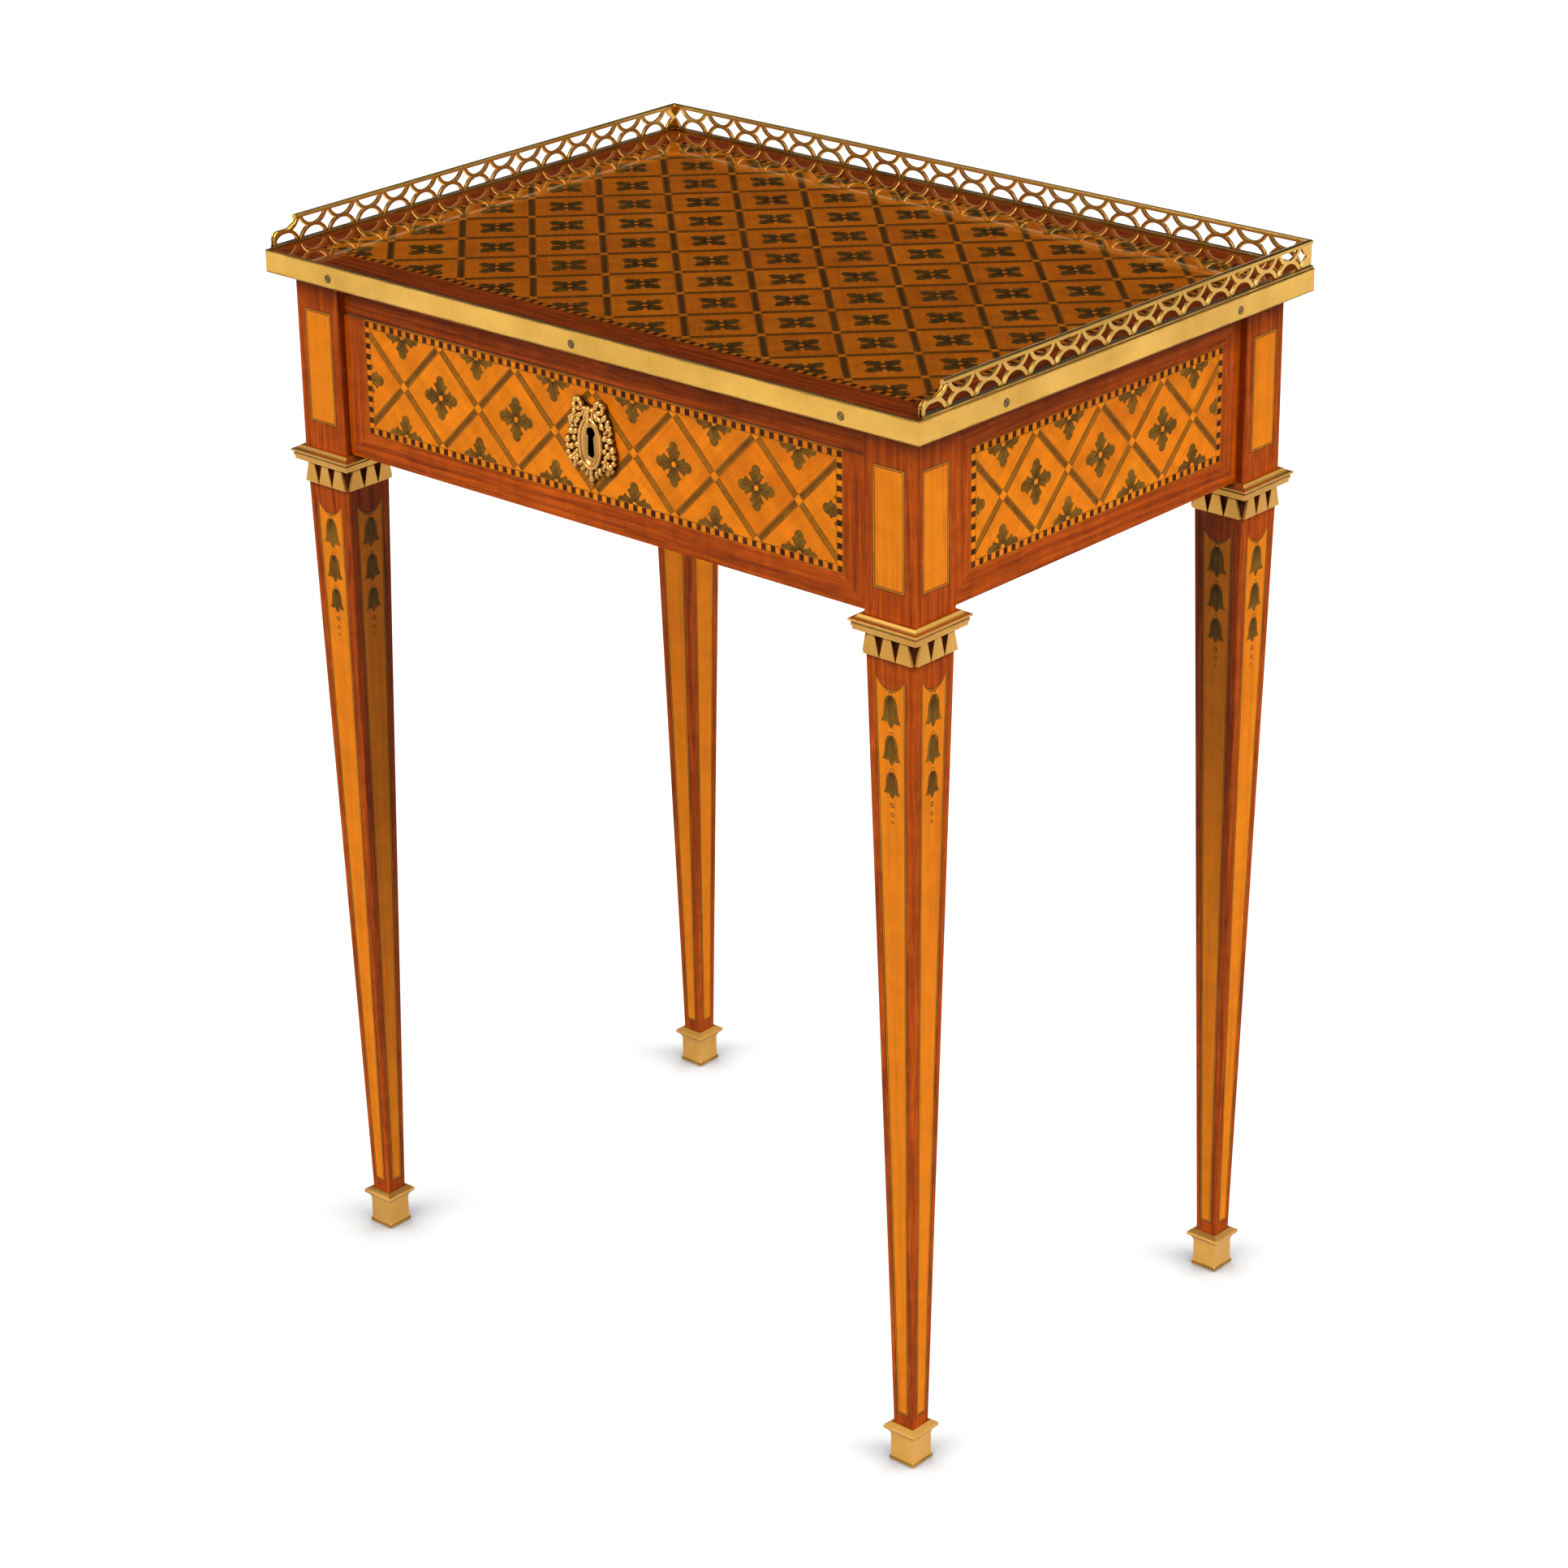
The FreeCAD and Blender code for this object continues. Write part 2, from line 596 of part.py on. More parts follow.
def gallery_right():
    """The right gallery, stepped at the front and mitred at the back corner."""
    start = -(HALF_DEPTH - GALLERY_END_SETBACK)
    run = GALLERY_Y - start
    long_run = run + GALLERY_RAIL_WIDTH
    pitch = (run - GALLERY_END_CENTRE - GALLERY_SIDE_CORNER) / (GALLERY_SIDE_CELLS + 0.5)
    cuts = openings(GALLERY_END_CENTRE + pitch, pitch, GALLERY_SIDE_CELLS)
    cuts.append(end_opening())
    rim_start = GALLERY_END_CENTRE + GALLERY_OPENING_WIDTH / 2 - GALLERY_PLATE / 2
    tuck = GALLERY_RIM_HEIGHT - GALLERY_RIM_WIDTH / 4
    edge = end_path()
    edge.append(edge[-1] + (edge[-1] - edge[-2]).normalize() * tuck)
    whole = joined([
        gallery_rail(0.0, long_run),
        centred(side_plate_outline(long_run).cut(cuts), GALLERY_PLATE),
        centred(ribbon(edge, GALLERY_END_BAND), GALLERY_RIM_WIDTH),
        gallery_rim(rim_start, long_run),
    ])
    placed = moved(turned(whole, 1), x=GALLERY_X, y=start)
    reach = GALLERY_RAIL_WIDTH + OVERRUN
    beyond = outline(
        flat,
        (GALLERY_X - reach, GALLERY_Y - reach),
        (GALLERY_X + reach, GALLERY_Y + reach),
        (GALLERY_X - reach, GALLERY_Y + reach),
    )
    beyond.translate(vec(z=TOP_HEIGHT - OVERRUN))
    height = PLATE_TOP + GALLERY_RIM_HEIGHT - TOP_HEIGHT + 2 * OVERRUN
    return placed.cut(beyond.extrude(vec(z=height)))


def gallery_back():
    """The back gallery, mitred at both ends."""
    end = GALLERY_X + GALLERY_RAIL_WIDTH
    pitch = 2 * (GALLERY_X - GALLERY_BACK_CORNER) / GALLERY_BACK_CELLS
    first = -pitch * (GALLERY_BACK_CELLS - 1) / 2
    face = outline(
        upright, (-end, PLATE_BOTTOM), (end, PLATE_BOTTOM), (end, PLATE_TOP), (-end, PLATE_TOP)
    )
    whole = joined([
        gallery_rail(-end, end),
        centred(face.cut(openings(first, pitch, GALLERY_BACK_CELLS)), GALLERY_PLATE),
        gallery_rim(-end, end),
    ])
    reach = GALLERY_RAIL_WIDTH
    crown = PLATE_TOP + GALLERY_RIM_HEIGHT
    wedge = mitre_wedge(GALLERY_X, GALLERY_Y, -reach, reach, TOP_HEIGHT, crown)
    return moved(whole, y=GALLERY_Y).common(turned(wedge, 2))


def taper_half(z):
    """Half the width of the tapered leg at a height."""
    return LEG_FOOT_SIZE / 2 + (z - SABOT_FLOOR) * LEG_SLOPE


def square(half, z, r=0.0):
    """A square wire round the Z axis, its corners rounded if a radius is given."""
    if r == 0.0:
        corners = [vec(-half, -half, z), vec(half, -half, z), vec(half, half, z), vec(-half, half, z)]
        return Part.makePolygon(corners + corners[:1])
    bow = half - r * (1 - math.sqrt(0.5))
    flush = half - r

    def place(x, y):
        return vec(x, y, z)

    return outline(
        place,
        (-flush, -half),
        (flush, -half),
        ((bow, -bow), (half, -flush)),
        (half, flush),
        ((bow, bow), (flush, half)),
        (-flush, half),
        ((-bow, bow), (-half, flush)),
        (-half, -flush),
        ((-bow, -bow), (-flush, -half)),
    ).OuterWire


def square_taper(z_low, z_high, half_low, half_high, r=0.0):
    """A square tapered piece round the Z axis."""
    return Part.makeLoft([square(half_low, z_low, r), square(half_high, z_high, r)], True, True)


def leg_space(z_high):
    """The space that the tapered leg fills inside a collar or a sabot, with its glue gap."""
    half_low = taper_half(SABOT_FLOOR) + GLUE_GAP
    return square_taper(SABOT_FLOOR, z_high, half_low, taper_half(z_high) + GLUE_GAP)


def leg_panel(depth, proud):
    """The long inlaid panel of a leg on its -Y face; its upper edge dips in the middle."""
    angle = math.atan(LEG_SLOPE)
    low = (SABOT_HEIGHT + LEG_PANEL_ABOVE_SABOT - SABOT_FLOOR) / math.cos(angle)
    high = (TEETH_FOOT - LEG_PANEL_BELOW_COLLAR - SABOT_FLOOR) / math.cos(angle)
    foot_half = LEG_PANEL_FOOT_WIDTH / 2
    top_half = LEG_PANEL_TOP_WIDTH / 2
    face = outline(
        upright,
        (-foot_half, low),
        (foot_half, low),
        (top_half, high),
        ((0.0, high - LEG_PANEL_DIP), (-top_half, high)),
    )
    face.translate(vec(y=-proud))
    panel = face.extrude(vec(y=depth + proud))
    panel.rotate(CENTRE, vec(x=1), math.degrees(angle))
    return moved(panel, y=-taper_half(SABOT_FLOOR), z=SABOT_FLOOR)


def block_panel(depth, proud):
    """The inlaid panel on the -Y face of a leg's block."""
    half = BLOCK_PANEL_WIDTH / 2
    return block(-half, half, -BLOCK_HALF - proud, -BLOCK_HALF + depth, ZONE_BOTTOM, ZONE_TOP)


def leg_inlays(proud=0.0):
    """Panels of the front right leg: four on the taper, two on the outer faces of the block."""
    panels = [turned(leg_panel(INLAY_DEPTH, proud), quarter) for quarter in range(4)]
    panels += [turned(block_panel(INLAY_DEPTH, proud), quarter) for quarter in range(2)]
    return panels


def leg_right(front, mortises):
    """A right-hand leg in place, with its inlay pockets and mortises."""
    side = -1 if front else 1
    foot = taper_half(SABOT_FLOOR)
    taper = square_taper(SABOT_FLOOR, FRIEZE_BOTTOM, foot, taper_half(FRIEZE_BOTTOM), ARRIS_ROUND)
    upper = square_taper(FRIEZE_BOTTOM, UNDER_TOP, BLOCK_HALF, BLOCK_HALF, ARRIS_ROUND)
    whole = joined([upper, taper])
    pockets = leg_inlays(OVERRUN)
    if not front:
        pockets = [shape.mirror(CENTRE, vec(y=1)) for shape in pockets]
    cut = whole.cut(pockets)
    return moved(cut, x=LEG_X, y=side * LEG_Y).cut(mortises)


def collar():
    """A brass collar: a mitred cornice and three teeth on each side, round the leg's axis."""
    def place(shares):
        return (shares[0] * COLLAR_REACH, FRIEZE_BOTTOM - shares[1] * COLLAR_HEIGHT)

    inside = -OVERRUN
    fascia = place(COLLAR_FASCIA_FOOT_SHARES)
    step = place(COLLAR_STEP_SHARES)
    sides = mitred_frame(
        BLOCK_HALF,
        BLOCK_HALF,
        (inside, FRIEZE_BOTTOM),
        place(COLLAR_LEDGE_SHARES),
        place(COLLAR_ROLL_SHARES),
        (place(COLLAR_HOLLOW_SHARES), place(COLLAR_BEAD_TOP_SHARES)),
        (place(COLLAR_BEAD_NOSE_SHARES), place(COLLAR_BEAD_FOOT_SHARES)),
        place(COLLAR_GROOVE_SHARES),
        place(COLLAR_FASCIA_TOP_SHARES),
        fascia,
        step,
        (step[0], COLLAR_FOOT),
        (inside, COLLAR_FOOT),
    )
    teeth = [turned(tooth, quarter) for tooth in collar_teeth() for quarter in range(4)]
    return joined(sides + teeth).cut(leg_space(FRIEZE_BOTTOM + OVERRUN))


def collar_teeth():
    """The teeth on the -Y side of a collar, wider at their feet and a hair apart."""
    pitch = TOOTH_FOOT_WIDTH + TOOTH_GAP
    crown = TOOTH_TOP_WIDTH / 2
    foot = TOOTH_FOOT_WIDTH / 2
    rooted = COLLAR_FOOT + TOOTH_ROOT
    face = outline(
        upright,
        (-foot, TEETH_FOOT),
        (foot, TEETH_FOOT),
        (crown, COLLAR_FOOT),
        (crown, rooted),
        (-crown, rooted),
        (-crown, COLLAR_FOOT),
    )
    outer = BLOCK_HALF + TOOTH_REACH
    tooth = face.extrude(vec(y=outer - taper_half(TEETH_FOOT) + OVERRUN))
    first = -(TOOTH_COUNT - 1) / 2
    return [moved(tooth, x=(first + index) * pitch, y=-outer) for index in range(TOOTH_COUNT)]


def sabot():
    """A square brass shoe: plinth, cove, body, flared flange and bevelled lip."""
    body = SABOT_BODY_WIDTH / 2
    base = SABOT_BASE_WIDTH / 2
    flange = SABOT_FLANGE_WIDTH / 2
    lip = SABOT_LIP_WIDTH / 2
    plinth = SABOT_PLINTH_SHARE * SABOT_HEIGHT
    cove = SABOT_COVE_SHARE * SABOT_HEIGHT
    neck = SABOT_NECK_SHARE * SABOT_HEIGHT
    hollow = (
        body + SABOT_COVE_DEPTH_SHARE * (flange - body),
        SABOT_COVE_MIDDLE_SHARE * SABOT_HEIGHT,
    )
    flare = (flange, SABOT_FLANGE_SHARE * SABOT_HEIGHT)
    inside = SABOT_CORE_WIDTH / 2
    sides = mitred_frame(
        0.0,
        0.0,
        (inside, 0.0),
        (base, 0.0),
        (base, plinth),
        (body, cove),
        (body, neck),
        (hollow, flare),
        (flange, SABOT_FLANGE_TOP_SHARE * SABOT_HEIGHT),
        (lip, SABOT_HEIGHT),
        (inside, SABOT_HEIGHT),
    )
    core = block(-inside, inside, -inside, inside, 0.0, SABOT_HEIGHT)
    return joined(sides + [core]).cut(leg_space(SABOT_HEIGHT + OVERRUN))


def apron_board(half_length, inner, outer, grow=0.0):
    """An apron along X on the +Y side, with a tenon at each end."""
    body = block(-half_length, half_length, inner, outer, FRIEZE_BOTTOM, UNDER_TOP)
    middle = (inner + outer) / 2
    half = TENON_THICKNESS / 2 + grow
    reach = half_length + TENON_LENGTH + grow
    low = FRIEZE_BOTTOM + TENON_SHOULDER - grow
    high = UNDER_TOP - TENON_SHOULDER + grow
    return joined([body, block(-reach, reach, middle - half, middle + half, low, high)])


def back_apron(grow=0.0):
    """The board of the back apron."""
    return apron_board(INNER_X, APRON_INNER_Y, APRON_FACE_Y - VENEER, grow)


def right_apron(grow=0.0):
    """The board of the right apron."""
    return turned(apron_board(INNER_Y, APRON_INNER_X, APRON_FACE_X - VENEER, grow), 3)


def front_top_rail(grow=0.0):
    """The rail over the drawer, with its tenons and the mortise for the lock bolt."""
    body = block(-INNER_X, INNER_X, RAIL_FRONT, RAIL_BACK, RAIL_UNDERSIDE, UNDER_TOP)
    middle = (RAIL_FRONT + RAIL_BACK) / 2
    half = TENON_THICKNESS / 2 + grow
    reach = INNER_X + TENON_LENGTH + grow
    low = RAIL_UNDERSIDE + RAIL_TENON_SHOULDER - grow
    high = UNDER_TOP - RAIL_TENON_SHOULDER + grow
    rail = joined([body, block(-reach, reach, middle - half, middle + half, low, high)])
    wide = BOLT_WIDTH / 2 + SHADOW_GAP
    strike = block(
        -wide, wide, BOLT_Y_LOW - SHADOW_GAP, BOLT_Y_HIGH + SHADOW_GAP,
        RAIL_UNDERSIDE - OVERRUN, BOLT_TOP + BOLT_THROW + SHADOW_GAP,
    )
    return rail.cut(strike)


def front_bearer_rail(grow=0.0):
    """The rail that the drawer front closes against; it ties the front legs under the drawer."""
    front = DRAWER_FRONT_BACK + RUNNING_GAP
    body = block(-INNER_X, INNER_X, front, -INNER_Y, FRIEZE_BOTTOM, RUNNER_TOP)
    reach = INNER_X + TENON_LENGTH + grow
    middle = (front - INNER_Y) / 2
    half = TENON_THICKNESS / 2 + grow
    low = FRIEZE_BOTTOM + BEARER_TENON_SHOULDER - grow
    high = RUNNER_TOP - BEARER_TENON_SHOULDER + grow
    return joined([body, block(-reach, reach, middle - half, middle + half, low, high)])


def frieze_strips(half, low, high, zone_top):
    """Mitred crossbanding round the marquetry of a frieze face, standing in the XZ plane."""
    inner = half - BORDER_SIDE
    shapes = [
        outline(upright, (-half, low), (-inner, ZONE_BOTTOM), (-inner, zone_top), (-half, high)),
        outline(upright, (half, low), (inner, ZONE_BOTTOM), (inner, zone_top), (half, high)),
        outline(upright, (-half, low), (half, low), (inner, ZONE_BOTTOM), (-inner, ZONE_BOTTOM)),
    ]
    if high > zone_top:
        shapes.append(
            outline(upright, (-half, high), (half, high), (inner, zone_top), (-inner, zone_top))
        )
    return Part.makeCompound([face.extrude(vec(y=VENEER)) for face in shapes])


def apron_veneers(half, face):
    """Crossbanding and marquetry sheet of an apron on the -Y side, at the distance of its face."""
    inner = half - BORDER_SIDE
    strips = moved(frieze_strips(half, FRIEZE_BOTTOM, UNDER_TOP, ZONE_TOP), y=-face)
    sheet = block(-inner, inner, -face, VENEER - face, ZONE_BOTTOM, ZONE_TOP)
    return strips, sheet


def drawer_face_space(y_low, y_high):
    """The outline of the drawer front, its lower corners rounded, between two planes."""
    r = DRAWER_CORNER_ROUND
    bow = r * (1 - math.sqrt(0.5))
    half = DRAWER_HALF
    low = DRAWER_BOTTOM_EDGE
    high = DRAWER_TOP_EDGE
    face = outline(
        upright,
        (-half, high),
        (-half, low + r),
        ((-half + bow, low + bow), (-half + r, low)),
        (half - r, low),
        ((half - bow, low + bow), (half, low + r)),
        (half, high),
    )
    face.translate(vec(y=y_low))
    return face.extrude(vec(y=y_high - y_low))


def keyhole_space(y_low, y_high):
    """A keyhole: a round hole over a slot that widens to a rounded foot."""
    hole = Part.makeCylinder(KEYHOLE_RADIUS, y_high - y_low, vec(0.0, y_low, KEYHOLE_CENTRE), vec(y=1))
    neck = KEYHOLE_NECK_WIDTH / 2
    foot = KEYHOLE_FOOT_WIDTH / 2
    low = KEYHOLE_CENTRE - KEYHOLE_DROP
    face = outline(
        upright,
        (-neck, KEYHOLE_CENTRE),
        (-foot, low + foot),
        ((0.0, low), (foot, low + foot)),
        (neck, KEYHOLE_CENTRE),
    )
    face.translate(vec(y=y_low))
    return hole.fuse(face.extrude(vec(y=y_high - y_low)))


def dovetails(start, direction, length, low, high, grow=0.0):
    """The tails of a drawer side: narrow at the shoulder, wide at the end, stacked in height."""
    zone = (high - low - 2 * DOVETAIL_MARGIN) / DOVETAIL_COUNT
    neck = DOVETAIL_NECK / 2 + grow
    end = DOVETAIL_END / 2 + grow
    back = -direction * GLUE_GAP
    reach = direction * (length + grow)
    tails = []
    for index in range(DOVETAIL_COUNT):
        middle = low + DOVETAIL_MARGIN + (index + 0.5) * zone

        def place(y, z):
            return vec(SIDE_INNER - grow, start + y, middle + z)

        tail = ((back, -neck), (0.0, -neck), (reach, -end), (reach, end), (0.0, neck), (back, neck))
        face = outline(place, *tail)
        tails.append(face.extrude(vec(x=DRAWER_SIDE_THICKNESS + 2 * grow)))
    return tails


def front_tails(grow=0.0):
    """The tails that lap into the drawer front."""
    return dovetails(DRAWER_FRONT_BACK, -1, DOVETAIL_LENGTH, PANEL_TOP, DRAWER_TOP_EDGE, grow)


def back_tails(grow=0.0):
    """The tails that pass through the drawer back."""
    high = DRAWER_TOP_EDGE - DRAWER_BACK_DROP
    return dovetails(DRAWER_BACK_FRONT, 1, DRAWER_BACK_THICKNESS, PANEL_TOP, high, grow)


def drawer_side_right():
    """The right side of the drawer, with its tails and the groove for the bottom."""
    board = block(
        SIDE_INNER, SIDE_OUTER, DRAWER_FRONT_BACK, DRAWER_BACK_FRONT, SIDE_BOTTOM, DRAWER_TOP_EDGE
    )
    foot = block(SIDE_INNER, SIDE_OUTER, DRAWER_BACK_FRONT, DRAWER_END, SIDE_BOTTOM, PANEL_TOP)
    crown = block(
        SIDE_INNER, SIDE_OUTER, DRAWER_BACK_FRONT, DRAWER_END,
        DRAWER_TOP_EDGE - DRAWER_BACK_DROP + GLUE_GAP, DRAWER_TOP_EDGE,
    )
    side = joined([board, foot, crown] + front_tails() + back_tails())
    return side.cut(bottom_space())


def bottom_space():
    """The space of the drawer bottom and its grooves."""
    reach = SIDE_INNER + DRAWER_GROOVE_DEPTH
    return block(
        -reach, reach, DRAWER_FRONT_BACK - DRAWER_GROOVE_DEPTH, DRAWER_END + OVERRUN,
        PANEL_UNDERSIDE, PANEL_TOP,
    )


def drawer_bottom():
    """The panel that slides into the grooves of the sides and the front."""
    reach = SIDE_INNER + DRAWER_GROOVE_DEPTH - GLUE_GAP
    front = DRAWER_FRONT_BACK - DRAWER_GROOVE_DEPTH + GLUE_GAP
    return block(-reach, reach, front, DRAWER_END, PANEL_UNDERSIDE, PANEL_TOP)


def drawer_back():
    """The back of the drawer, with pins between the tails of the sides."""
    board = block(
        -SIDE_OUTER, SIDE_OUTER, DRAWER_BACK_FRONT, DRAWER_END, PANEL_TOP,
        DRAWER_TOP_EDGE - DRAWER_BACK_DROP,
    )
    sockets = back_tails(GLUE_GAP)
    return board.cut(sockets + [mirrored(tail) for tail in sockets])


def drawer_front():
    """The board of the drawer front, with sockets, groove, lock recess and keyhole."""
    board = drawer_face_space(DRAWER_FACE + VENEER, DRAWER_FRONT_BACK)
    sockets = front_tails(GLUE_GAP)
    sockets += [mirrored(tail) for tail in sockets]
    recess = lock_body(GLUE_GAP)
    keyhole = keyhole_space(DRAWER_FACE, LOCK_INNER)
    return board.cut(sockets + [bottom_space(), recess, keyhole, lock_screws(GLUE_GAP)])


def drawer_veneers():
    """Crossbanding and marquetry sheet of the drawer front; the sheet reaches its top edge."""
    face = drawer_face_space(DRAWER_FACE, DRAWER_FACE + VENEER)
    border = frieze_strips(DRAWER_HALF, DRAWER_BOTTOM_EDGE, DRAWER_TOP_EDGE, DRAWER_TOP_EDGE)
    strips = moved(border, y=DRAWER_FACE)
    inner = DRAWER_HALF - BORDER_SIDE
    sheet = block(-inner, inner, DRAWER_FACE, DRAWER_FACE + VENEER, ZONE_BOTTOM, DRAWER_TOP_EDGE)
    keyhole = keyhole_space(DRAWER_FACE - OVERRUN, DRAWER_FACE + VENEER + OVERRUN)
    banding = Part.makeCompound([strip.common(face) for strip in strips.Solids])
    return banding, sheet.cut(keyhole)


def lock_body(grow=0.0):
    """The outside of the lock: back plate, top plate and box, let into the drawer front."""
    half = LOCK_WIDTH / 2 + grow
    box_half = half - LOCK_BOX_INSET
    low = LOCK_FOOT - grow
    plate_front = DRAWER_FRONT_BACK - LOCK_PLATE - grow
    cap_underside = DRAWER_TOP_EDGE - LOCK_PLATE - grow
    front = LOCK_INNER - grow
    plate = block(-half, half, plate_front, DRAWER_FRONT_BACK, low, DRAWER_TOP_EDGE)
    cap = block(-half, half, front, DRAWER_FRONT_BACK, cap_underside, DRAWER_TOP_EDGE)
    box = block(
        -box_half, box_half, front, DRAWER_FRONT_BACK, low + LOCK_BOX_INSET, DRAWER_TOP_EDGE
    )
    return joined([plate, cap, box])


def lock_case():
    """The lock: its body hollowed for the bolt, with the key post and the ledge under the bolt."""
    half = LOCK_WIDTH / 2 - LOCK_BOX_INSET - LOCK_WALL
    front = LOCK_INNER + LOCK_WALL
    back = DRAWER_FRONT_BACK - LOCK_PLATE
    floor = LOCK_FOOT + LOCK_BOX_INSET + LOCK_WALL
    room = block(-half, half, front, back, floor, DRAWER_TOP_EDGE - LOCK_PLATE)
    wide = BOLT_WIDTH / 2 + BOLT_CLEARANCE
    slot = block(
        -wide, wide, BOLT_Y_LOW - BOLT_CLEARANCE, BOLT_Y_HIGH + BOLT_CLEARANCE,
        DRAWER_TOP_EDGE - LOCK_PLATE - OVERRUN, DRAWER_TOP_EDGE + OVERRUN,
    )
    keyhole = keyhole_space(LOCK_INNER - OVERRUN, front)
    foot = vec(0.0, LOCK_INNER, KEYHOLE_CENTRE)
    post = Part.makeCylinder(KEY_POST_RADIUS, back - LOCK_INNER, foot, vec(y=1))
    ledge_top = BOLT_TOP - BOLT_HEIGHT - BOLT_CLEARANCE
    ledge = block(-half, half, front, back, ledge_top - LOCK_WALL, ledge_top)
    shell = lock_body().cut([room, slot, keyhole])
    return joined([shell, post, ledge]).cut(lock_screws(GLUE_GAP))


def lock_screws(grow=0.0):
    """The four screws at the corners of the lock's back plate."""
    one = screw(
        LOCK_SCREW_HEAD_RADIUS, LOCK_SCREW_HEAD_DEPTH, LOCK_SCREW_SHANK_RADIUS, LOCK_SCREW_LENGTH, grow
    )
    inset = LOCK_BOX_INSET / 2
    reach = LOCK_WIDTH / 2 - inset
    low = LOCK_FOOT + inset
    high = DRAWER_TOP_EDGE - LOCK_BOX_INSET
    places = [(x, z) for x in (-reach, reach) for z in (low, high)]
    return Part.makeCompound([pointed(one, vec(y=1), x, DRAWER_FRONT_BACK, z) for x, z in places])


def lock_bolt():
    """The bolt that the key shoots up into the top rail."""
    half = BOLT_WIDTH / 2
    return block(-half, half, BOLT_Y_LOW, BOLT_Y_HIGH, BOLT_TOP - BOLT_HEIGHT, BOLT_TOP)


def oval(half_width, half_height, y):
    """An upright many-sided oval wire in front of the drawer, centred on the escutcheon."""
    turns = [2 * math.pi * (corner + 0.5) / SHIELD_SIDES for corner in range(SHIELD_SIDES)]
    points = [
        vec(half_width * math.cos(turn), y, ESCUTCHEON_CENTRE + half_height * math.sin(turn))
        for turn in turns
    ]
    return Part.makePolygon(points + points[:1])


def shield():
    """The oval shield round the keyhole: a bevelled rim and a dished field."""
    half_width = SHIELD_WIDTH / 2
    half_height = SHIELD_HEIGHT / 2
    front = DRAWER_FACE - SHIELD_RELIEF
    crest = SHIELD_RIM / 2
    body = Part.makeLoft([
        oval(half_width, half_height, DRAWER_FACE),
        oval(half_width - crest, half_height - crest, front),
    ], True, True)
    dish = Part.makeLoft([
        oval(half_width - SHIELD_RIM, half_height - SHIELD_RIM, front + SHIELD_DISH),
        oval(half_width - crest, half_height - crest, front - SHIELD_DISH / 2),
    ], True, True)
    return body.cut(dish)


def on_plate(shares, side=1):
    """A place on the escutcheon from its shares of the half width and half height."""
    x = side * shares[0] * ESCUTCHEON_WIDTH / 2
    return x, ESCUTCHEON_CENTRE + ESCUTCHEON_LIFT + shares[1] * ESCUTCHEON_HEIGHT / 2


def bud(place, radius, height):
    """A cast bud of the ornament: a many-sided boss with drafted sides."""
    x, z = place
    return pointed(many_sided(BUD_SIDES, radius, 0.0, radius / 2, height), vec(y=-1), x, DRAWER_FACE, z)


def berries():
    """Two hanging swags of berries, larger in the middle."""
    made = []
    for side in (-1, 1):
        for index, shares in enumerate(BERRY_PLACE_SHARES):
            swell = math.sin(math.pi * index / (len(BERRY_PLACE_SHARES) - 1))
            radius = BERRY_RADIUS * (1 + BERRY_SWELL_SHARE * swell)
            made.append(bud(on_plate(shares, side), radius, ESCUTCHEON_PLATE + radius))
    return made


def bow():
    """A ribbon bow over the shield: two open loops and a knot."""
    height = BOW_RELIEF - ESCUTCHEON_PLATE
    pieces = [bud(on_plate((0.0, KNOT_SHARE)), BOW_KNOT_RADIUS, BOW_RELIEF + ESCUTCHEON_PLATE)]
    for side in (-1, 1):
        x, z = on_plate(BOW_PLACE_SHARES, side)
        loop = many_sided(BUD_SIDES, BOW_LOOP_RADIUS, 0.0, BOW_LOOP_RADIUS - height / 2, height)
        eye = many_sided(BUD_SIDES, BOW_EYE_RADIUS, -OVERRUN, BOW_EYE_RADIUS, height + OVERRUN)
        pieces.append(pointed(loop.cut(eye), vec(y=-1), x, DRAWER_FACE - ESCUTCHEON_PLATE, z))
    return pieces


def leaves():
    """The leaves beside the bow and under the shield, and the bead that hangs below."""
    places = {on_plate(shares, side) for shares in LEAF_PLACE_SHARES for side in (-1, 1)}
    made = [bud(place, LEAF_RADIUS, ESCUTCHEON_PLATE + DROP_RADIUS) for place in sorted(places)]
    foot = ESCUTCHEON_CENTRE + ESCUTCHEON_LIFT - ESCUTCHEON_HEIGHT / 2 + DROP_RADIUS
    made.append(bud((0.0, foot), DROP_RADIUS, ESCUTCHEON_PLATE + DROP_RADIUS))
    return made


def backing():
    """The thin plate behind the ornament, with a lobe for each group of it."""
    right = [on_plate(shares) for shares in BACKING_SHARES]
    left = [on_plate(shares, -1) for shares in BACKING_SHARES[:0:-1]]
    face = outline(upright, *(right + left))
    face.translate(vec(y=DRAWER_FACE))
    return face.extrude(vec(y=-ESCUTCHEON_PLATE))


def escutcheon():
    """The gilt key plate: shield, ribbon bow, swags of berries and leaves on a thin backing."""
    front = joined([backing(), shield()] + bow() + berries() + leaves())
    keyhole = keyhole_space(DRAWER_FACE - 2 * SHIELD_RELIEF, DRAWER_FACE + OVERRUN)
    return front.cut(keyhole)


def runner_right():
    """The strip that carries the right side of the drawer, glued to the apron."""
    return block(
        APRON_INNER_X - RUNNER_WIDTH, APRON_INNER_X, -INNER_Y, INNER_Y, FRIEZE_BOTTOM, RUNNER_TOP
    )


def guide_right():
    """The strip on the runner that keeps the drawer from moving sideways."""
    return block(
        SIDE_OUTER + RUNNING_GAP, APRON_INNER_X, -INNER_Y, INNER_Y, RUNNER_TOP, RUNNER_TOP + GUIDE_HEIGHT
    )


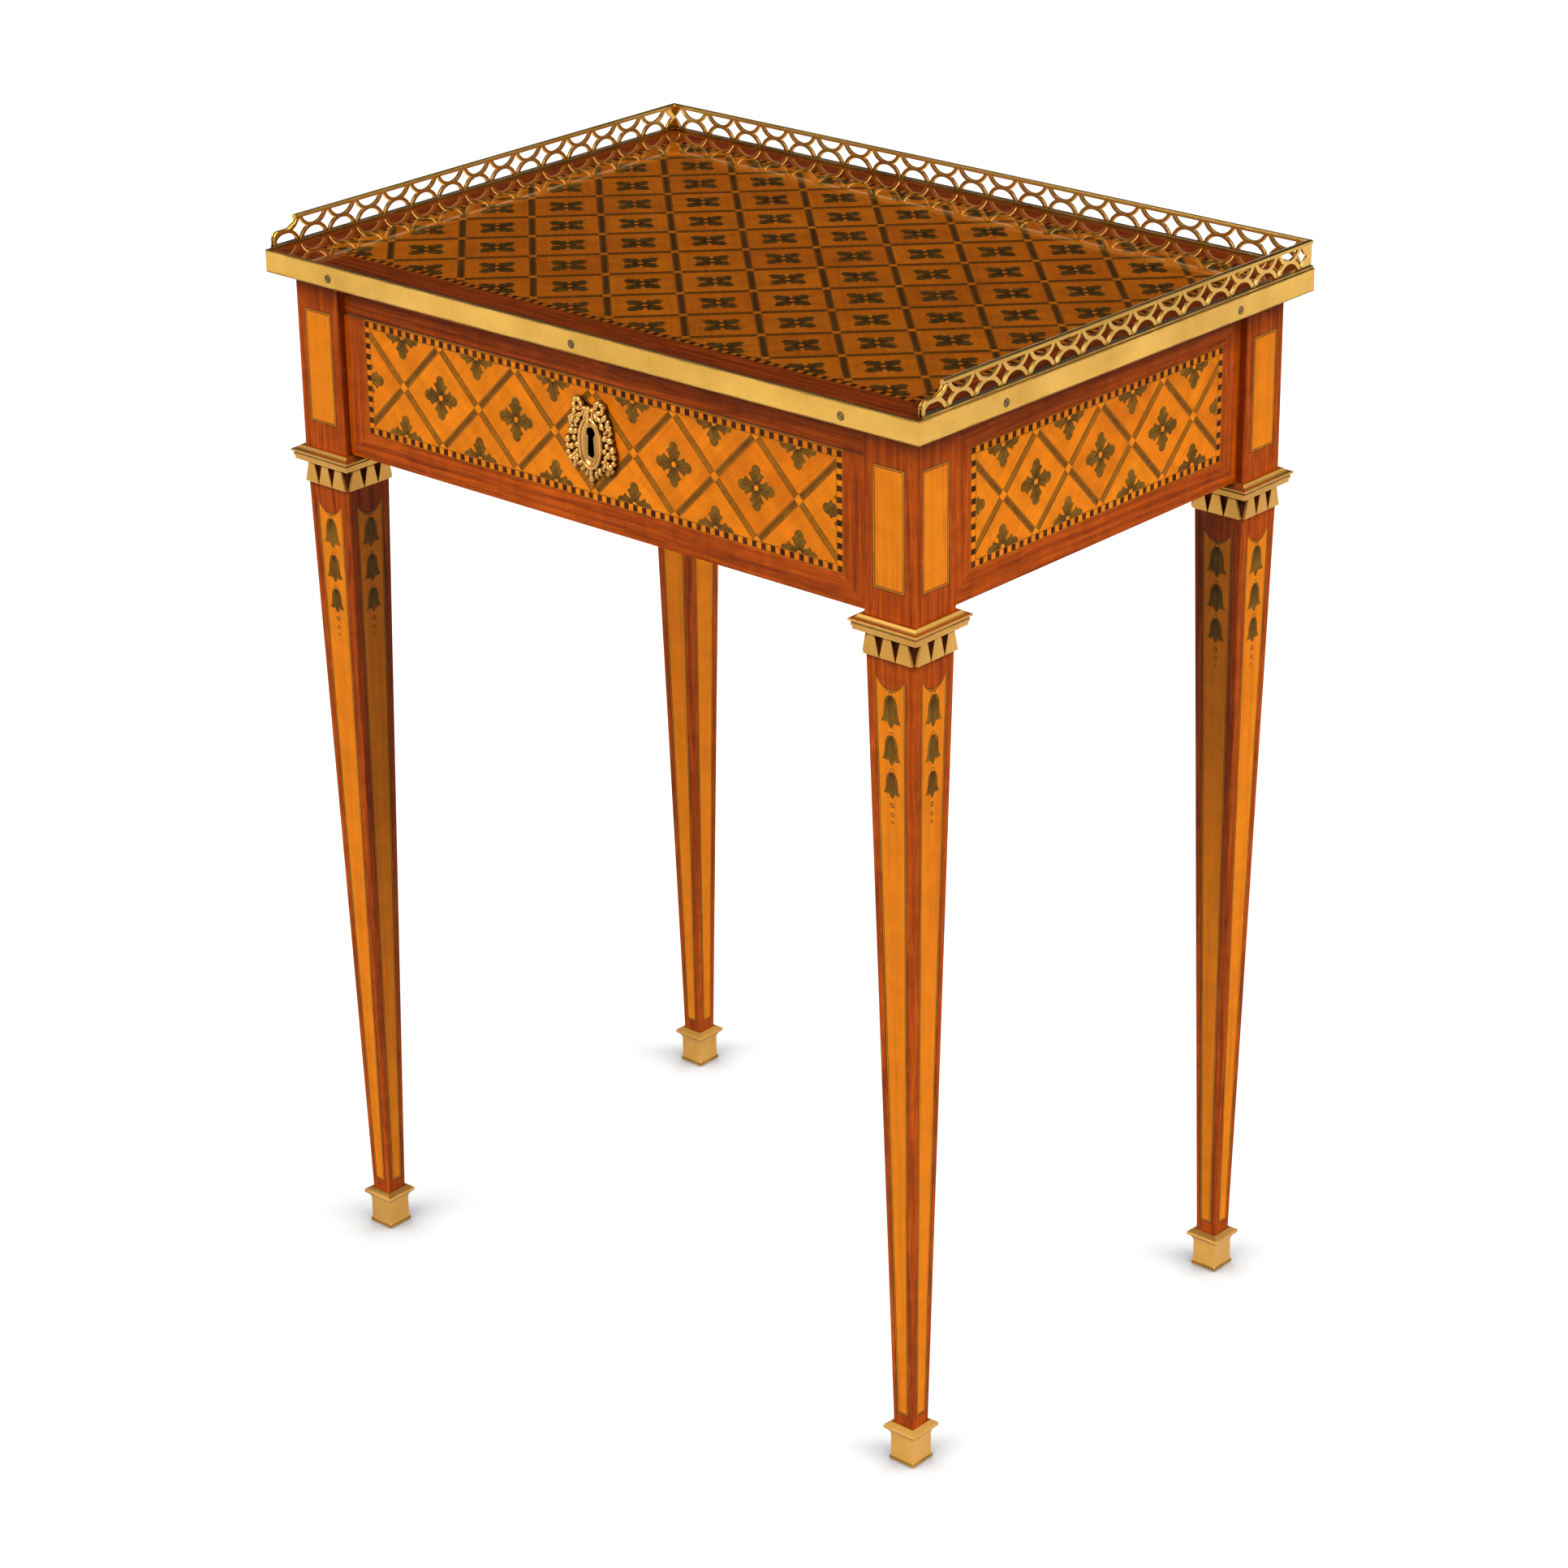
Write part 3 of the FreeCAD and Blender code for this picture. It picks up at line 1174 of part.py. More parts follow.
def kicker_right():
    """The strip over the drawer side that keeps the open drawer from tipping."""
    board = block(
        APRON_INNER_X - KICKER_WIDTH, APRON_INNER_X, -INNER_Y, INNER_Y, RAIL_UNDERSIDE, UNDER_TOP
    )
    return board.cut(top_screws(GLUE_GAP))


def top_screws(grow=0.0):
    """The screws that hold the top down, through the kickers."""
    length = UNDER_TOP - RAIL_UNDERSIDE + TOP_SCREW_BITE
    one = screw(TOP_SCREW_HEAD_RADIUS, TOP_SCREW_HEAD_DEPTH, TOP_SCREW_SHANK_RADIUS, length, grow)
    x = APRON_INNER_X - KICKER_WIDTH / 2
    reach = TOP_SCREW_KICKER_REACH
    places = [(side * x, end * reach) for side in (-1, 1) for end in (-1, 1)]
    return Part.makeCompound([pointed(one, vec(z=-1), x, y, RAIL_UNDERSIDE) for x, y in places])


def glue_blocks():
    """The blocks in the corner between the back apron and the top."""
    half = GLUE_BLOCK_LENGTH / 2
    blocks = []
    for x in (-GLUE_BLOCK_SPACING, 0.0, GLUE_BLOCK_SPACING):
        blocks.append(block(
            x - half, x + half, APRON_INNER_Y - GLUE_BLOCK_SIZE, APRON_INNER_Y,
            UNDER_TOP - GLUE_BLOCK_SIZE, UNDER_TOP,
        ))
    return Part.makeCompound(blocks)


def legs():
    """The four legs with their inlays, collars and sabots."""
    nodes = {}
    side_tenons = right_apron(GLUE_GAP)
    fronts = [side_tenons, front_top_rail(GLUE_GAP), front_bearer_rail(GLUE_GAP)]
    backs = [side_tenons, back_apron(GLUE_GAP)]
    one_collar = collar()
    one_sabot = sabot()
    for end, side, mortises in (("front", -1, fronts), ("back", 1, backs)):
        leg = leg_right(end == "front", mortises)
        panels = leg_inlays()
        if side > 0:
            panels = [shape.mirror(CENTRE, vec(y=1)) for shape in panels]
        inlays = moved(Part.makeCompound(panels), LEG_X, side * LEG_Y)
        parts = {
            "leg": leg,
            "leg_inlays": inlays,
            "collar": moved(one_collar, LEG_X, side * LEG_Y),
            "sabot": moved(one_sabot, LEG_X, side * LEG_Y),
        }
        for name, shape in parts.items():
            nodes[f"{name}_{end}_right"] = shape
            nodes[f"{name}_{end}_left"] = mirrored(shape)
    return nodes


def frieze():
    """Rails, aprons and what is glued to them."""
    strips, sheet = apron_veneers(INNER_Y, APRON_FACE_X)
    back_strips, back_sheet = apron_veneers(INNER_X, APRON_FACE_Y)
    right = right_apron()
    nodes = {
        "apron_right": right,
        "apron_left": mirrored(right),
        "apron_back": back_apron(),
        "apron_crossbanding_right": turned(strips, 1),
        "apron_crossbanding_left": turned(strips, 3),
        "apron_crossbanding_back": turned(back_strips, 2),
        "apron_marquetry_right": turned(sheet, 1),
        "apron_marquetry_left": turned(sheet, 3),
        "apron_marquetry_back": turned(back_sheet, 2),
        "front_top_rail": front_top_rail(),
        "front_bearer_rail": front_bearer_rail(),
        "glue_blocks": glue_blocks(),
        "top_screws": top_screws(),
    }
    for name, shape in (("runner", runner_right()), ("guide", guide_right()), ("kicker", kicker_right())):
        nodes[f"drawer_{name}_right"] = shape
        nodes[f"drawer_{name}_left"] = mirrored(shape)
    return nodes


def top():
    """The top, its edge band and its gallery."""
    nodes = top_veneers()
    nodes["top_core"] = top_core()
    names = ("edge_band_front", "edge_band_right", "edge_band_back", "edge_band_left")
    nodes.update(zip(names, edge_band()))
    nodes["edge_band_screws"] = band_screws()
    right = gallery_right()
    nodes["gallery_right"] = right
    nodes["gallery_left"] = mirrored(right)
    nodes["gallery_back"] = gallery_back()
    return nodes


def drawer():
    """The drawer, its lock and its key plate."""
    banding, sheet = drawer_veneers()
    side = drawer_side_right()
    return {
        "drawer_front": drawer_front(),
        "drawer_crossbanding": banding,
        "drawer_marquetry": sheet,
        "drawer_side_right": side,
        "drawer_side_left": mirrored(side),
        "drawer_back": drawer_back(),
        "drawer_bottom": drawer_bottom(),
        "escutcheon": escutcheon(),
        "lock_case": lock_case(),
        "lock_screws": lock_screws(),
        "lock_bolt": lock_bolt(),
    }


def build():
    """Writes one file for each sub-part and says what it holds."""
    os.makedirs("parts", exist_ok=True)
    nodes = {**top(), **legs(), **frieze(), **drawer()}
    for name, shape in sorted(nodes.items()):
        solids = shape.Solids
        valid = all(solid.isValid() for solid in solids)
        print(f"{name}: {len(solids)} solids, volume {shape.Volume:.0f}, valid {valid}")
        Part.makeCompound(solids).exportStep(f"parts/{name}.step")
    print(f"{len(nodes)} sub-parts")


build()
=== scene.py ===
# %% [markdown]
# A marquetry writing table. The joiner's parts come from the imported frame, in metres, with the floor
# at zero and the drawer facing towards minus Y. This lesson dresses them: veneers, inlay, brass and
# gilt bronze. Nothing of the frame is moved.

# %% load the frame
import math

import bmesh
import bpy
from mathutils import Matrix, Vector
from mathutils.geometry import tessellate_polygon
from mathutils.noise import noise as gradient


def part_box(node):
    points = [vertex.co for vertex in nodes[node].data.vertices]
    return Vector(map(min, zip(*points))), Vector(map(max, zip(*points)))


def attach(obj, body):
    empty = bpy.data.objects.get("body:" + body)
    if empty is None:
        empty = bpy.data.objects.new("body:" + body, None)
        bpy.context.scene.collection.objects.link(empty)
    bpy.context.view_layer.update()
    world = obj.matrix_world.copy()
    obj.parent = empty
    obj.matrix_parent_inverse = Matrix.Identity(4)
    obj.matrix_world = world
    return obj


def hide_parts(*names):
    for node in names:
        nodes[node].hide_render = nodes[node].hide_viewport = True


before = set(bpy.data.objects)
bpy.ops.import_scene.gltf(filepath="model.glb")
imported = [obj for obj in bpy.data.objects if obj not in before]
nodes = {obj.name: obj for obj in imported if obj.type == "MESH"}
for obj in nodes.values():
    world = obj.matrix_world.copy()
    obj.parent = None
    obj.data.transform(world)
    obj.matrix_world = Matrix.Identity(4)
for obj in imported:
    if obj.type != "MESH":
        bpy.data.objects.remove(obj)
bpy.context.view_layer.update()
MM = 0.001

# %% [markdown]
# Small helpers for shader trees. A material is a list of nodes joined by links, so two short
# functions that add a node and feed its sockets keep each finish readable.

# %% helpers for shader trees


def add(tree, kind, **settings):
    """A new node with some of its properties set."""
    node = tree.nodes.new(kind)
    for key, value in settings.items():
        setattr(node, key, value)
    return node


def feed(tree, node, **inputs):
    """Fills a node's inputs by name (underscores stand for spaces) with values or links."""
    for key, value in inputs.items():
        socket = node.inputs[int(key[1:])] if key[1:].isdigit() else node.inputs[key.replace("_", " ")]
        if isinstance(value, bpy.types.NodeSocket):
            tree.links.new(value, socket)
        else:
            socket.default_value = value
    return node


def maths(tree, operation, first, second=0.0, third=0.0):
    """One Math node; returns its output."""
    node = add(tree, "ShaderNodeMath", operation=operation)
    return feed(tree, node, i0=first, i1=second, i2=third).outputs[0]


def ramp(tree, value, low, high, start=0.0, end=1.0):
    """A clamped straight ramp from start at low to end at high."""
    node = add(tree, "ShaderNodeMapRange")
    feed(tree, node, Value=value, From_Min=low, From_Max=high, To_Min=start, To_Max=end)
    return node.outputs["Result"]


def blend(tree, amount, first, second, mode="MIX"):
    """Mixes two colours by an amount; returns the colour."""
    node = add(tree, "ShaderNodeMix", data_type="RGBA", blend_type=mode)
    feed(tree, node, i0=amount, i6=first, i7=second)
    return node.outputs[2]


def stretched(tree, vector, x, y, z):
    """The vector with its three parts scaled one by one."""
    node = add(tree, "ShaderNodeVectorMath", operation="MULTIPLY")
    return feed(tree, node, i0=vector, i1=(x, y, z)).outputs[0]


def noise(tree, vector, scale, detail=3.0, roughness=0.55, distortion=0.0):
    """A noise texture's grey value."""
    node = add(tree, "ShaderNodeTexNoise")
    feed(tree, node, Vector=vector, Scale=scale, Detail=detail, Roughness=roughness,
         Distortion=distortion)
    return node.outputs[0]


def new_group(name, inputs, outputs):
    """An empty shader node group with named sockets; returns the tree, its input and output nodes."""
    tree = bpy.data.node_groups.new(name, "ShaderNodeTree")
    for socket, kind, value in inputs:
        made = tree.interface.new_socket(socket, in_out="INPUT", socket_type=kind)
        if value is not None:
            made.default_value = value
    for socket, kind in outputs:
        tree.interface.new_socket(socket, in_out="OUTPUT", socket_type=kind)
    return tree, add(tree, "NodeGroupInput"), add(tree, "NodeGroupOutput")


# %% [markdown]
# Wood grain. Real grain is a set of long fibres, so noise is squeezed along one axis. The group gives
# three masks: broad growth streaks, fine dark pores, and the cloudy cross figure that polished veneer
# shows. Each wood mixes its own colours with them.

# %% the grain group
FLOAT, VECTOR = "NodeSocketFloat", "NodeSocketVector"


def grain_group():
    tree, given, result = new_group(
        "wood grain",
        [("Vector", VECTOR, None), ("Streak Size", FLOAT, 6.0), ("Pore Size", FLOAT, 0.5),
         ("Figure Size", FLOAT, 12.0), ("Waviness", FLOAT, 1.0)],
        [("Streaks", FLOAT), ("Pores", FLOAT), ("Figure", FLOAT)],
    )
    sway = noise(tree, stretched(tree, given.outputs["Vector"], 1.0, 1.0, 0.5), 22.0, 2.0)
    bend = maths(tree, "MULTIPLY", maths(tree, "SUBTRACT", sway, 0.5),
                 maths(tree, "MULTIPLY", given.outputs["Waviness"], 0.012))
    shift = add(tree, "ShaderNodeCombineXYZ")
    feed(tree, shift, X=bend, Y=bend)
    moved = add(tree, "ShaderNodeVectorMath", operation="ADD")
    place = feed(tree, moved, i0=given.outputs["Vector"], i1=shift.outputs[0]).outputs[0]
    streak_scale = maths(tree, "DIVIDE", 1000.0, given.outputs["Streak Size"])
    streaks = noise(tree, stretched(tree, place, 1.0, 1.0, 0.02), streak_scale, 5.0, 0.68)
    pore_scale = maths(tree, "DIVIDE", 1000.0, given.outputs["Pore Size"])
    pores = noise(tree, stretched(tree, place, 1.0, 1.0, 0.02), pore_scale, 1.0, 0.4)
    figure_scale = maths(tree, "DIVIDE", 1000.0, given.outputs["Figure Size"])
    figure = noise(tree, stretched(tree, given.outputs["Vector"], 0.6, 0.6, 1.0), figure_scale, 2.0, 0.5, 0.6)
    feed(tree, result, Streaks=streaks, Pores=ramp(tree, pores, 0.56, 0.72), Figure=figure)
    return tree


# %% [markdown]
# The polish is old. A second shared group gives faint handling marks: thin scratches, small dents of
# dust and slow changes of gloss. Wood and metal both read it.

# %% the wear group


def wear_group():
    tree, given, result = new_group(
        "handling wear",
        [("Vector", VECTOR, None), ("Mark Size", FLOAT, 20.0)],
        [("Cloud", FLOAT), ("Scratches", FLOAT), ("Specks", FLOAT)],
    )
    scale = maths(tree, "DIVIDE", 1000.0, given.outputs["Mark Size"])
    cloud = noise(tree, given.outputs["Vector"], scale, 4.0, 0.6)
    fine = noise(tree, stretched(tree, given.outputs["Vector"], 1.0, 0.06, 0.9), 1300.0, 2.0, 0.5)
    specks = noise(tree, given.outputs["Vector"], 620.0, 2.0, 0.5)
    feed(tree, result, Cloud=cloud, Scratches=ramp(tree, fine, 0.62, 0.75),
         Specks=ramp(tree, specks, 0.7, 0.78))
    return tree


GRAIN = grain_group()
WEAR = wear_group()
print("shared groups", GRAIN.name, "and", WEAR.name)

# %% [markdown]
# A veneer material. The Mapping node turns the grain to the way the strip was cut. Where strips meet
# in a mitre, one sheet holds strips of two directions: a mask that compares the run and the rise from
# the inner corners picks the direction, so the joint shows as the change of grain.

# %% veneer materials


def placed(tree, source, along):
    """Object coordinates turned so that the fibres' direction becomes Z."""
    turn = Vector(along).rotation_difference(Vector((0.0, 0.0, 1.0))).to_euler()
    node = add(tree, "ShaderNodeMapping", vector_type="POINT")
    feed(tree, node, Vector=source)
    node.inputs["Rotation"].default_value = turn
    return node.outputs[0]


def mitre_mask(tree, source, axes, centre, half):
    """One where a point lies on the upright side of the mitres of a frame with this inner opening."""
    parts = feed(tree, add(tree, "ShaderNodeSeparateXYZ"), Vector=source)
    away = []
    for axis, middle, reach in zip(axes, centre, half):
        offset = maths(tree, "ABSOLUTE", maths(tree, "SUBTRACT", parts.outputs[axis], middle))
        away.append(maths(tree, "SUBTRACT", offset, reach))
    return maths(tree, "GREATER_THAN", away[0], away[1])


def cell_tone(tree, source, axes, centre, pitches):
    """A number of its own for each lozenge of a lattice, for each was cut from another leaf of veneer."""
    parts = feed(tree, add(tree, "ShaderNodeSeparateXYZ"), Vector=source)
    steps = [maths(tree, "DIVIDE", maths(tree, "SUBTRACT", parts.outputs[axis], middle), pitch)
             for axis, middle, pitch in zip(axes, centre, pitches)]
    rising = maths(tree, "ROUND", maths(tree, "ADD", steps[0], steps[1]))
    falling = maths(tree, "ROUND", maths(tree, "SUBTRACT", steps[0], steps[1]))
    cell = feed(tree, add(tree, "ShaderNodeCombineXYZ"), X=rising, Y=falling)
    toss = add(tree, "ShaderNodeTexWhiteNoise", noise_dimensions="2D")
    return feed(tree, toss, Vector=cell.outputs[0]).outputs["Value"]


def keyhole_shade(tree, source):
    """One inside the keyhole, where the wood is painted black: the painted shade of the deep hole."""
    parts = feed(tree, add(tree, "ShaderNodeSeparateXYZ"), Vector=source)
    across = maths(tree, "LESS_THAN", maths(tree, "ABSOLUTE", parts.outputs["X"]), 0.0045)
    up = maths(tree, "LESS_THAN", maths(tree, "ABSOLUTE", maths(tree, "SUBTRACT", parts.outputs["Z"], 0.6418)), 0.0118)
    return maths(tree, "MULTIPLY", across, up)


def veneer(name, pale, mid, dark, along, mitre=None, streak=6.0, pore=0.5, figure=12.0,
           waviness=1.0, contrast=1.0, figuring=0.25, pores=0.35, gloss=0.5, coat=0.5, cells=None,
           keyhole=False, shade_band=None):
    """A polished wood. mitre is (second direction, axes, centre, half opening); cells is (axes, centre, pitches);
    shade_band is a pair of heights between which the wood is painted near black, a painted shade behind the teeth of
    the brass collar."""
    material = bpy.data.materials.new(name)
    material.use_nodes = True
    tree = material.node_tree
    tree.nodes.clear()
    source = add(tree, "ShaderNodeTexCoord").outputs["Object"]
    vector = placed(tree, source, along)
    if mitre:
        second, axes, centre, half = mitre
        mix = add(tree, "ShaderNodeMix", data_type="VECTOR")
        mask = mitre_mask(tree, source, axes, centre, half)
        feed(tree, mix, i0=mask, i4=vector, i5=placed(tree, source, second))
        vector = mix.outputs[1]
    grain = add(tree, "ShaderNodeGroup", node_tree=GRAIN)
    feed(tree, grain, Vector=vector, Streak_Size=streak, Pore_Size=pore, Figure_Size=figure,
         Waviness=waviness)
    wear = add(tree, "ShaderNodeGroup", node_tree=WEAR)
    feed(tree, wear, Vector=source, Mark_Size=45.0)
    spread = 0.18 / contrast
    low = blend(tree, ramp(tree, grain.outputs["Streaks"], 0.5 - spread, 0.5), dark, mid)
    colour = blend(tree, ramp(tree, grain.outputs["Streaks"], 0.5, 0.5 + spread), low, pale)
    shade = ramp(tree, grain.outputs["Figure"], 0.35, 0.65, 1.0 - figuring, 1.0 + figuring * 0.4)
    shaded = add(tree, "ShaderNodeVectorMath", operation="SCALE")
    feed(tree, shaded, i0=colour, Scale=shade)
    wood_tone = blend(tree, maths(tree, "MULTIPLY", grain.outputs["Pores"], pores),
                  shaded.outputs[0], [c * 0.45 for c in dark[:3]] + [1.0])
    if cells:
        wood_tone = blend(tree, cell_tone(tree, source, *cells), wood_tone, (0.86, 0.76, 0.7, 1.0), "MULTIPLY")
    # painted shade: between the two heights the wood is blended to near black
    if shade_band:
        height = feed(tree, add(tree, "ShaderNodeSeparateXYZ"), Vector=source).outputs["Z"]
        near = maths(tree, "ABSOLUTE", maths(tree, "SUBTRACT", height, (shade_band[0] + shade_band[1]) / 2))
        reach = (shade_band[1] - shade_band[0]) / 2
        wood_tone = blend(tree, ramp(tree, near, reach + 0.0008, reach - 0.0008, 0.0, 0.88), wood_tone, (0.02, 0.006, 0.002, 1.0))
    # painted shade: the wood seen through the keyhole is made black
    if keyhole:
        wood_tone = blend(tree, keyhole_shade(tree, source), wood_tone, (0.004, 0.003, 0.002, 1.0))
    rough = ramp(tree, wear.outputs["Cloud"], 0.3, 0.7, gloss - 0.08, gloss + 0.08)
    shader = add(tree, "ShaderNodeBsdfPrincipled")
    feed(tree, shader, Base_Color=wood_tone, Roughness=rough, Coat_Weight=coat, Coat_Roughness=0.06)
    shader.inputs["Specular IOR Level"].default_value = 0.0
    shader.inputs["Coat IOR"].default_value = 2.3
    bump = add(tree, "ShaderNodeBump")
    feed(tree, bump, Strength=0.05, Distance=0.0002, Height=grain.outputs["Pores"])
    feed(tree, shader, Normal=bump.outputs[0])
    output = add(tree, "ShaderNodeOutputMaterial")
    tree.links.new(shader.outputs[0], output.inputs["Surface"])
    return material


X, Y, Z = (1, 0, 0), (0, 1, 0), (0, 0, 1)
SIDE_COAT, TOP_COAT = 0.04, 1.0
TULIP = dict(pale=(0.58, 0.096, 0.004, 1), mid=(0.39, 0.058, 0.002, 1), dark=(0.20, 0.027, 0.0015, 1),
             streak=3.0, pore=0.4, waviness=0.5, contrast=1.0, figuring=0.15, pores=0.45)
# a darker copy of the tulipwood for the top: painted shade
SHADED_TULIP = dict(TULIP, pale=(0.20, 0.030, 0.0015, 1), mid=(0.125, 0.018, 0.001, 1), dark=(0.055, 0.007, 0.001, 1))
SATIN = dict(pale=(0.84, 0.26, 0.008, 1), mid=(0.77, 0.205, 0.006, 1), dark=(0.57, 0.13, 0.004, 1),
             streak=5.0, pore=0.35, figure=16.0, waviness=0.5, contrast=0.5, figuring=0.08, pores=0.16)

# the legs are painted near black just under the collars: painted shade behind the collars' teeth
tulip_leg = veneer("tulipwood leg", along=Z, coat=SIDE_COAT, shade_band=(0.5602, 0.5765), **TULIP)
satin_upright = veneer("satinwood upright", along=Z, coat=SIDE_COAT, **SATIN)
tulip_rail = veneer("tulipwood rail", along=X, coat=SIDE_COAT, **TULIP)
tulip_front = veneer("tulipwood drawer banding", along=X,
                     mitre=(Z, (0, 2), (0.0, 0.6415), (0.2026, 0.0385)), coat=SIDE_COAT, **TULIP)
tulip_side = veneer("tulipwood side banding", along=Y,
                    mitre=(Z, (1, 2), (0.0, 0.6412), (0.1252, 0.0382)), coat=SIDE_COAT, **TULIP)
tulip_back = veneer("tulipwood back banding", along=X,
                    mitre=(Z, (0, 2), (0.0, 0.6412), (0.2032, 0.0382)), coat=SIDE_COAT, **TULIP)
tulip_top = veneer("tulipwood top banding", along=X,
                   mitre=(Y, (0, 1), (0.0, 0.0), (0.250, 0.1705)), coat=TOP_COAT, **SHADED_TULIP)
print("veneers", len([m for m in bpy.data.materials if "wood" in m.name]))

# %% [markdown]
# The marquetry ground is laid with its fibres on the slant, so each lozenge shows short diagonal
# lines. Stained sycamore makes the leaves, greened satinwood the bars, and ebonised slips the dots of
# the checker line.

# %% marquetry woods
SLANT_FRONT = (1, 0, 1)
SLANT_SIDE = (0, 1, 1)
SLANT_TOP = (1, -1, 0)
GROUND = dict(pale=(0.93, 0.285, 0.007, 1), mid=(0.86, 0.235, 0.005, 1), dark=(0.68, 0.155, 0.004, 1),
              streak=2.4, pore=0.35, contrast=0.4, figure=14.0, figuring=0.15, pores=0.16, waviness=0.5)
FRONT_CELLS = ((0, 2), (0.0, 0.6415), (0.0672, 0.0672))
SIDE_CELLS = ((1, 2), (0.0, 0.6412), (0.0632, 0.0650))
TOP_CELLS = ((0, 1), (0.0, 0.0), (0.0643, 0.0648))
ground_front = veneer("marquetry ground front", along=SLANT_FRONT, coat=SIDE_COAT, cells=FRONT_CELLS, **GROUND)
ground_drawer = veneer("marquetry ground drawer", along=SLANT_FRONT, coat=SIDE_COAT, cells=FRONT_CELLS,
                       keyhole=True, **GROUND)
ground_side = veneer("marquetry ground side", along=SLANT_SIDE, coat=SIDE_COAT, cells=SIDE_CELLS, **GROUND)
# a darker copy of the ground for the top: painted shade
TOP_GROUND = dict(GROUND, pale=(0.33, 0.088, 0.001, 1), mid=(0.27, 0.067, 0.001, 1),
                  dark=(0.19, 0.043, 0.001, 1))
ground_top = veneer("marquetry ground top", along=SLANT_TOP, coat=TOP_COAT, cells=TOP_CELLS, **TOP_GROUND)
LEAF = dict(pale=(0.27, 0.125, 0.012, 1), mid=(0.20, 0.088, 0.008, 1), dark=(0.12, 0.048, 0.005, 1),
            streak=1.6, pore=0.3, contrast=0.9, figuring=0.3, pores=0.3)
BAR = dict(pale=(0.42, 0.150, 0.007, 1), mid=(0.35, 0.115, 0.005, 1), dark=(0.22, 0.066, 0.004, 1),
           streak=1.4, pore=0.3, contrast=0.9, figuring=0.15, pores=0.3)
# the bars of one direction are darker than the other's: painted shade for how the light catches their grain
DARK_BAR = dict(pale=(0.27, 0.098, 0.006, 1), mid=(0.205, 0.070, 0.004, 1), dark=(0.12, 0.037, 0.003, 1),
                streak=1.4, pore=0.3, contrast=0.9, figuring=0.15, pores=0.3)
EBONY = dict(pale=(0.085, 0.032, 0.006, 1), mid=(0.052, 0.018, 0.004, 1), dark=(0.028, 0.009, 0.002, 1),
             streak=1.5, pore=0.3, contrast=0.9, figuring=0.15, pores=0.2)
BLOCK = dict(pale=(0.125, 0.037, 0.006, 1), mid=(0.072, 0.019, 0.003, 1), dark=(0.035, 0.008, 0.0015, 1),
             streak=1.5, pore=0.3, figure=9.0, contrast=0.7, figuring=0.5, pores=0.2)
PALE_LINE = dict(pale=(0.60, 0.24, 0.022, 1), mid=(0.48, 0.17, 0.015, 1), dark=(0.32, 0.10, 0.009, 1),
                 streak=2.0, pore=0.3, contrast=0.7, figuring=0.1, pores=0.2)


def shaded_copy(wood, share):
    """The same wood, darkened to a share of its three colours: a painted shade for the top."""
    tones = {k: tuple(c * share for c in wood[k][:3]) + (1,) for k in ("pale", "mid", "dark")}
    return dict(wood, **tones)


def inlay_woods(suffix, along, coat):
    """The inlay woods for one panel, cut with the panel's slant; those of the top are darkened copies, a painted shade.
    """
    kinds = {"leaf": LEAF, "bar": BAR, "dark bar": DARK_BAR, "ebony": EBONY,
             "block": BLOCK, "pale line": PALE_LINE}
    # the top's woods are darkened copies: painted shade
    if suffix == "top":
        kinds = {k: shaded_copy(v, TOP_SHADE[k]) for k, v in kinds.items()}
    kinds["dot"] = TOP_GROUND if suffix == "top" else GROUND
    return {k: veneer(f"inlay {k} {suffix}", along=along, coat=coat, **v) for k, v in kinds.items()}


TOP_SHADE = {"leaf": 0.24, "bar": 0.22, "dark bar": 0.22, "ebony": 0.3, "block": 0.3, "pale line": 0.26}
WOODS = {
    "front": inlay_woods("front", SLANT_FRONT, SIDE_COAT),
    "side": inlay_woods("side", SLANT_SIDE, SIDE_COAT),
    "top": inlay_woods("top", SLANT_TOP, TOP_COAT),
    "leg": inlay_woods("leg", Z, SIDE_COAT),
}
print("inlay woods", sum(len(v) for v in WOODS.values()))

# %% [markdown]
# Carcass woods are left raw: oak for the drawer's sides and bottom, a darker pine for the frame.

# %% carcass woods
OAK = dict(pale=(0.42, 0.25, 0.115, 1), mid=(0.33, 0.185, 0.08, 1), dark=(0.20, 0.105, 0.042, 1),
           streak=4.0, pore=0.6, contrast=0.9, figuring=0.15, pores=0.45, gloss=0.62, coat=0.0)
PINE = dict(pale=(0.34, 0.185, 0.075, 1), mid=(0.26, 0.13, 0.05, 1), dark=(0.15, 0.07, 0.026, 1),
            streak=7.0, pore=0.6, contrast=1.0, figuring=0.15, pores=0.3, gloss=0.65, coat=0.0)
oak_along_y = veneer("oak lengthways", along=Y, **OAK)
oak_along_x = veneer("oak crossways", along=X, **OAK)
oak_front = veneer("oak of the drawer front", along=X, keyhole=True, **OAK)
pine_along_y = veneer("carcass wood lengthways", along=Y, **PINE)
pine_along_x = veneer("carcass wood crossways", along=X, **PINE)

# %% [markdown]
# The brass is cast, filed and polished, then handled for two hundred years. Its colour drifts with a
# slow cloud of tarnish, dirt stays in a few specks, and fine scratches follow the length of the
# mount. A metal's colour is its Base Color, so all of these change that and the roughness.

# %% metals


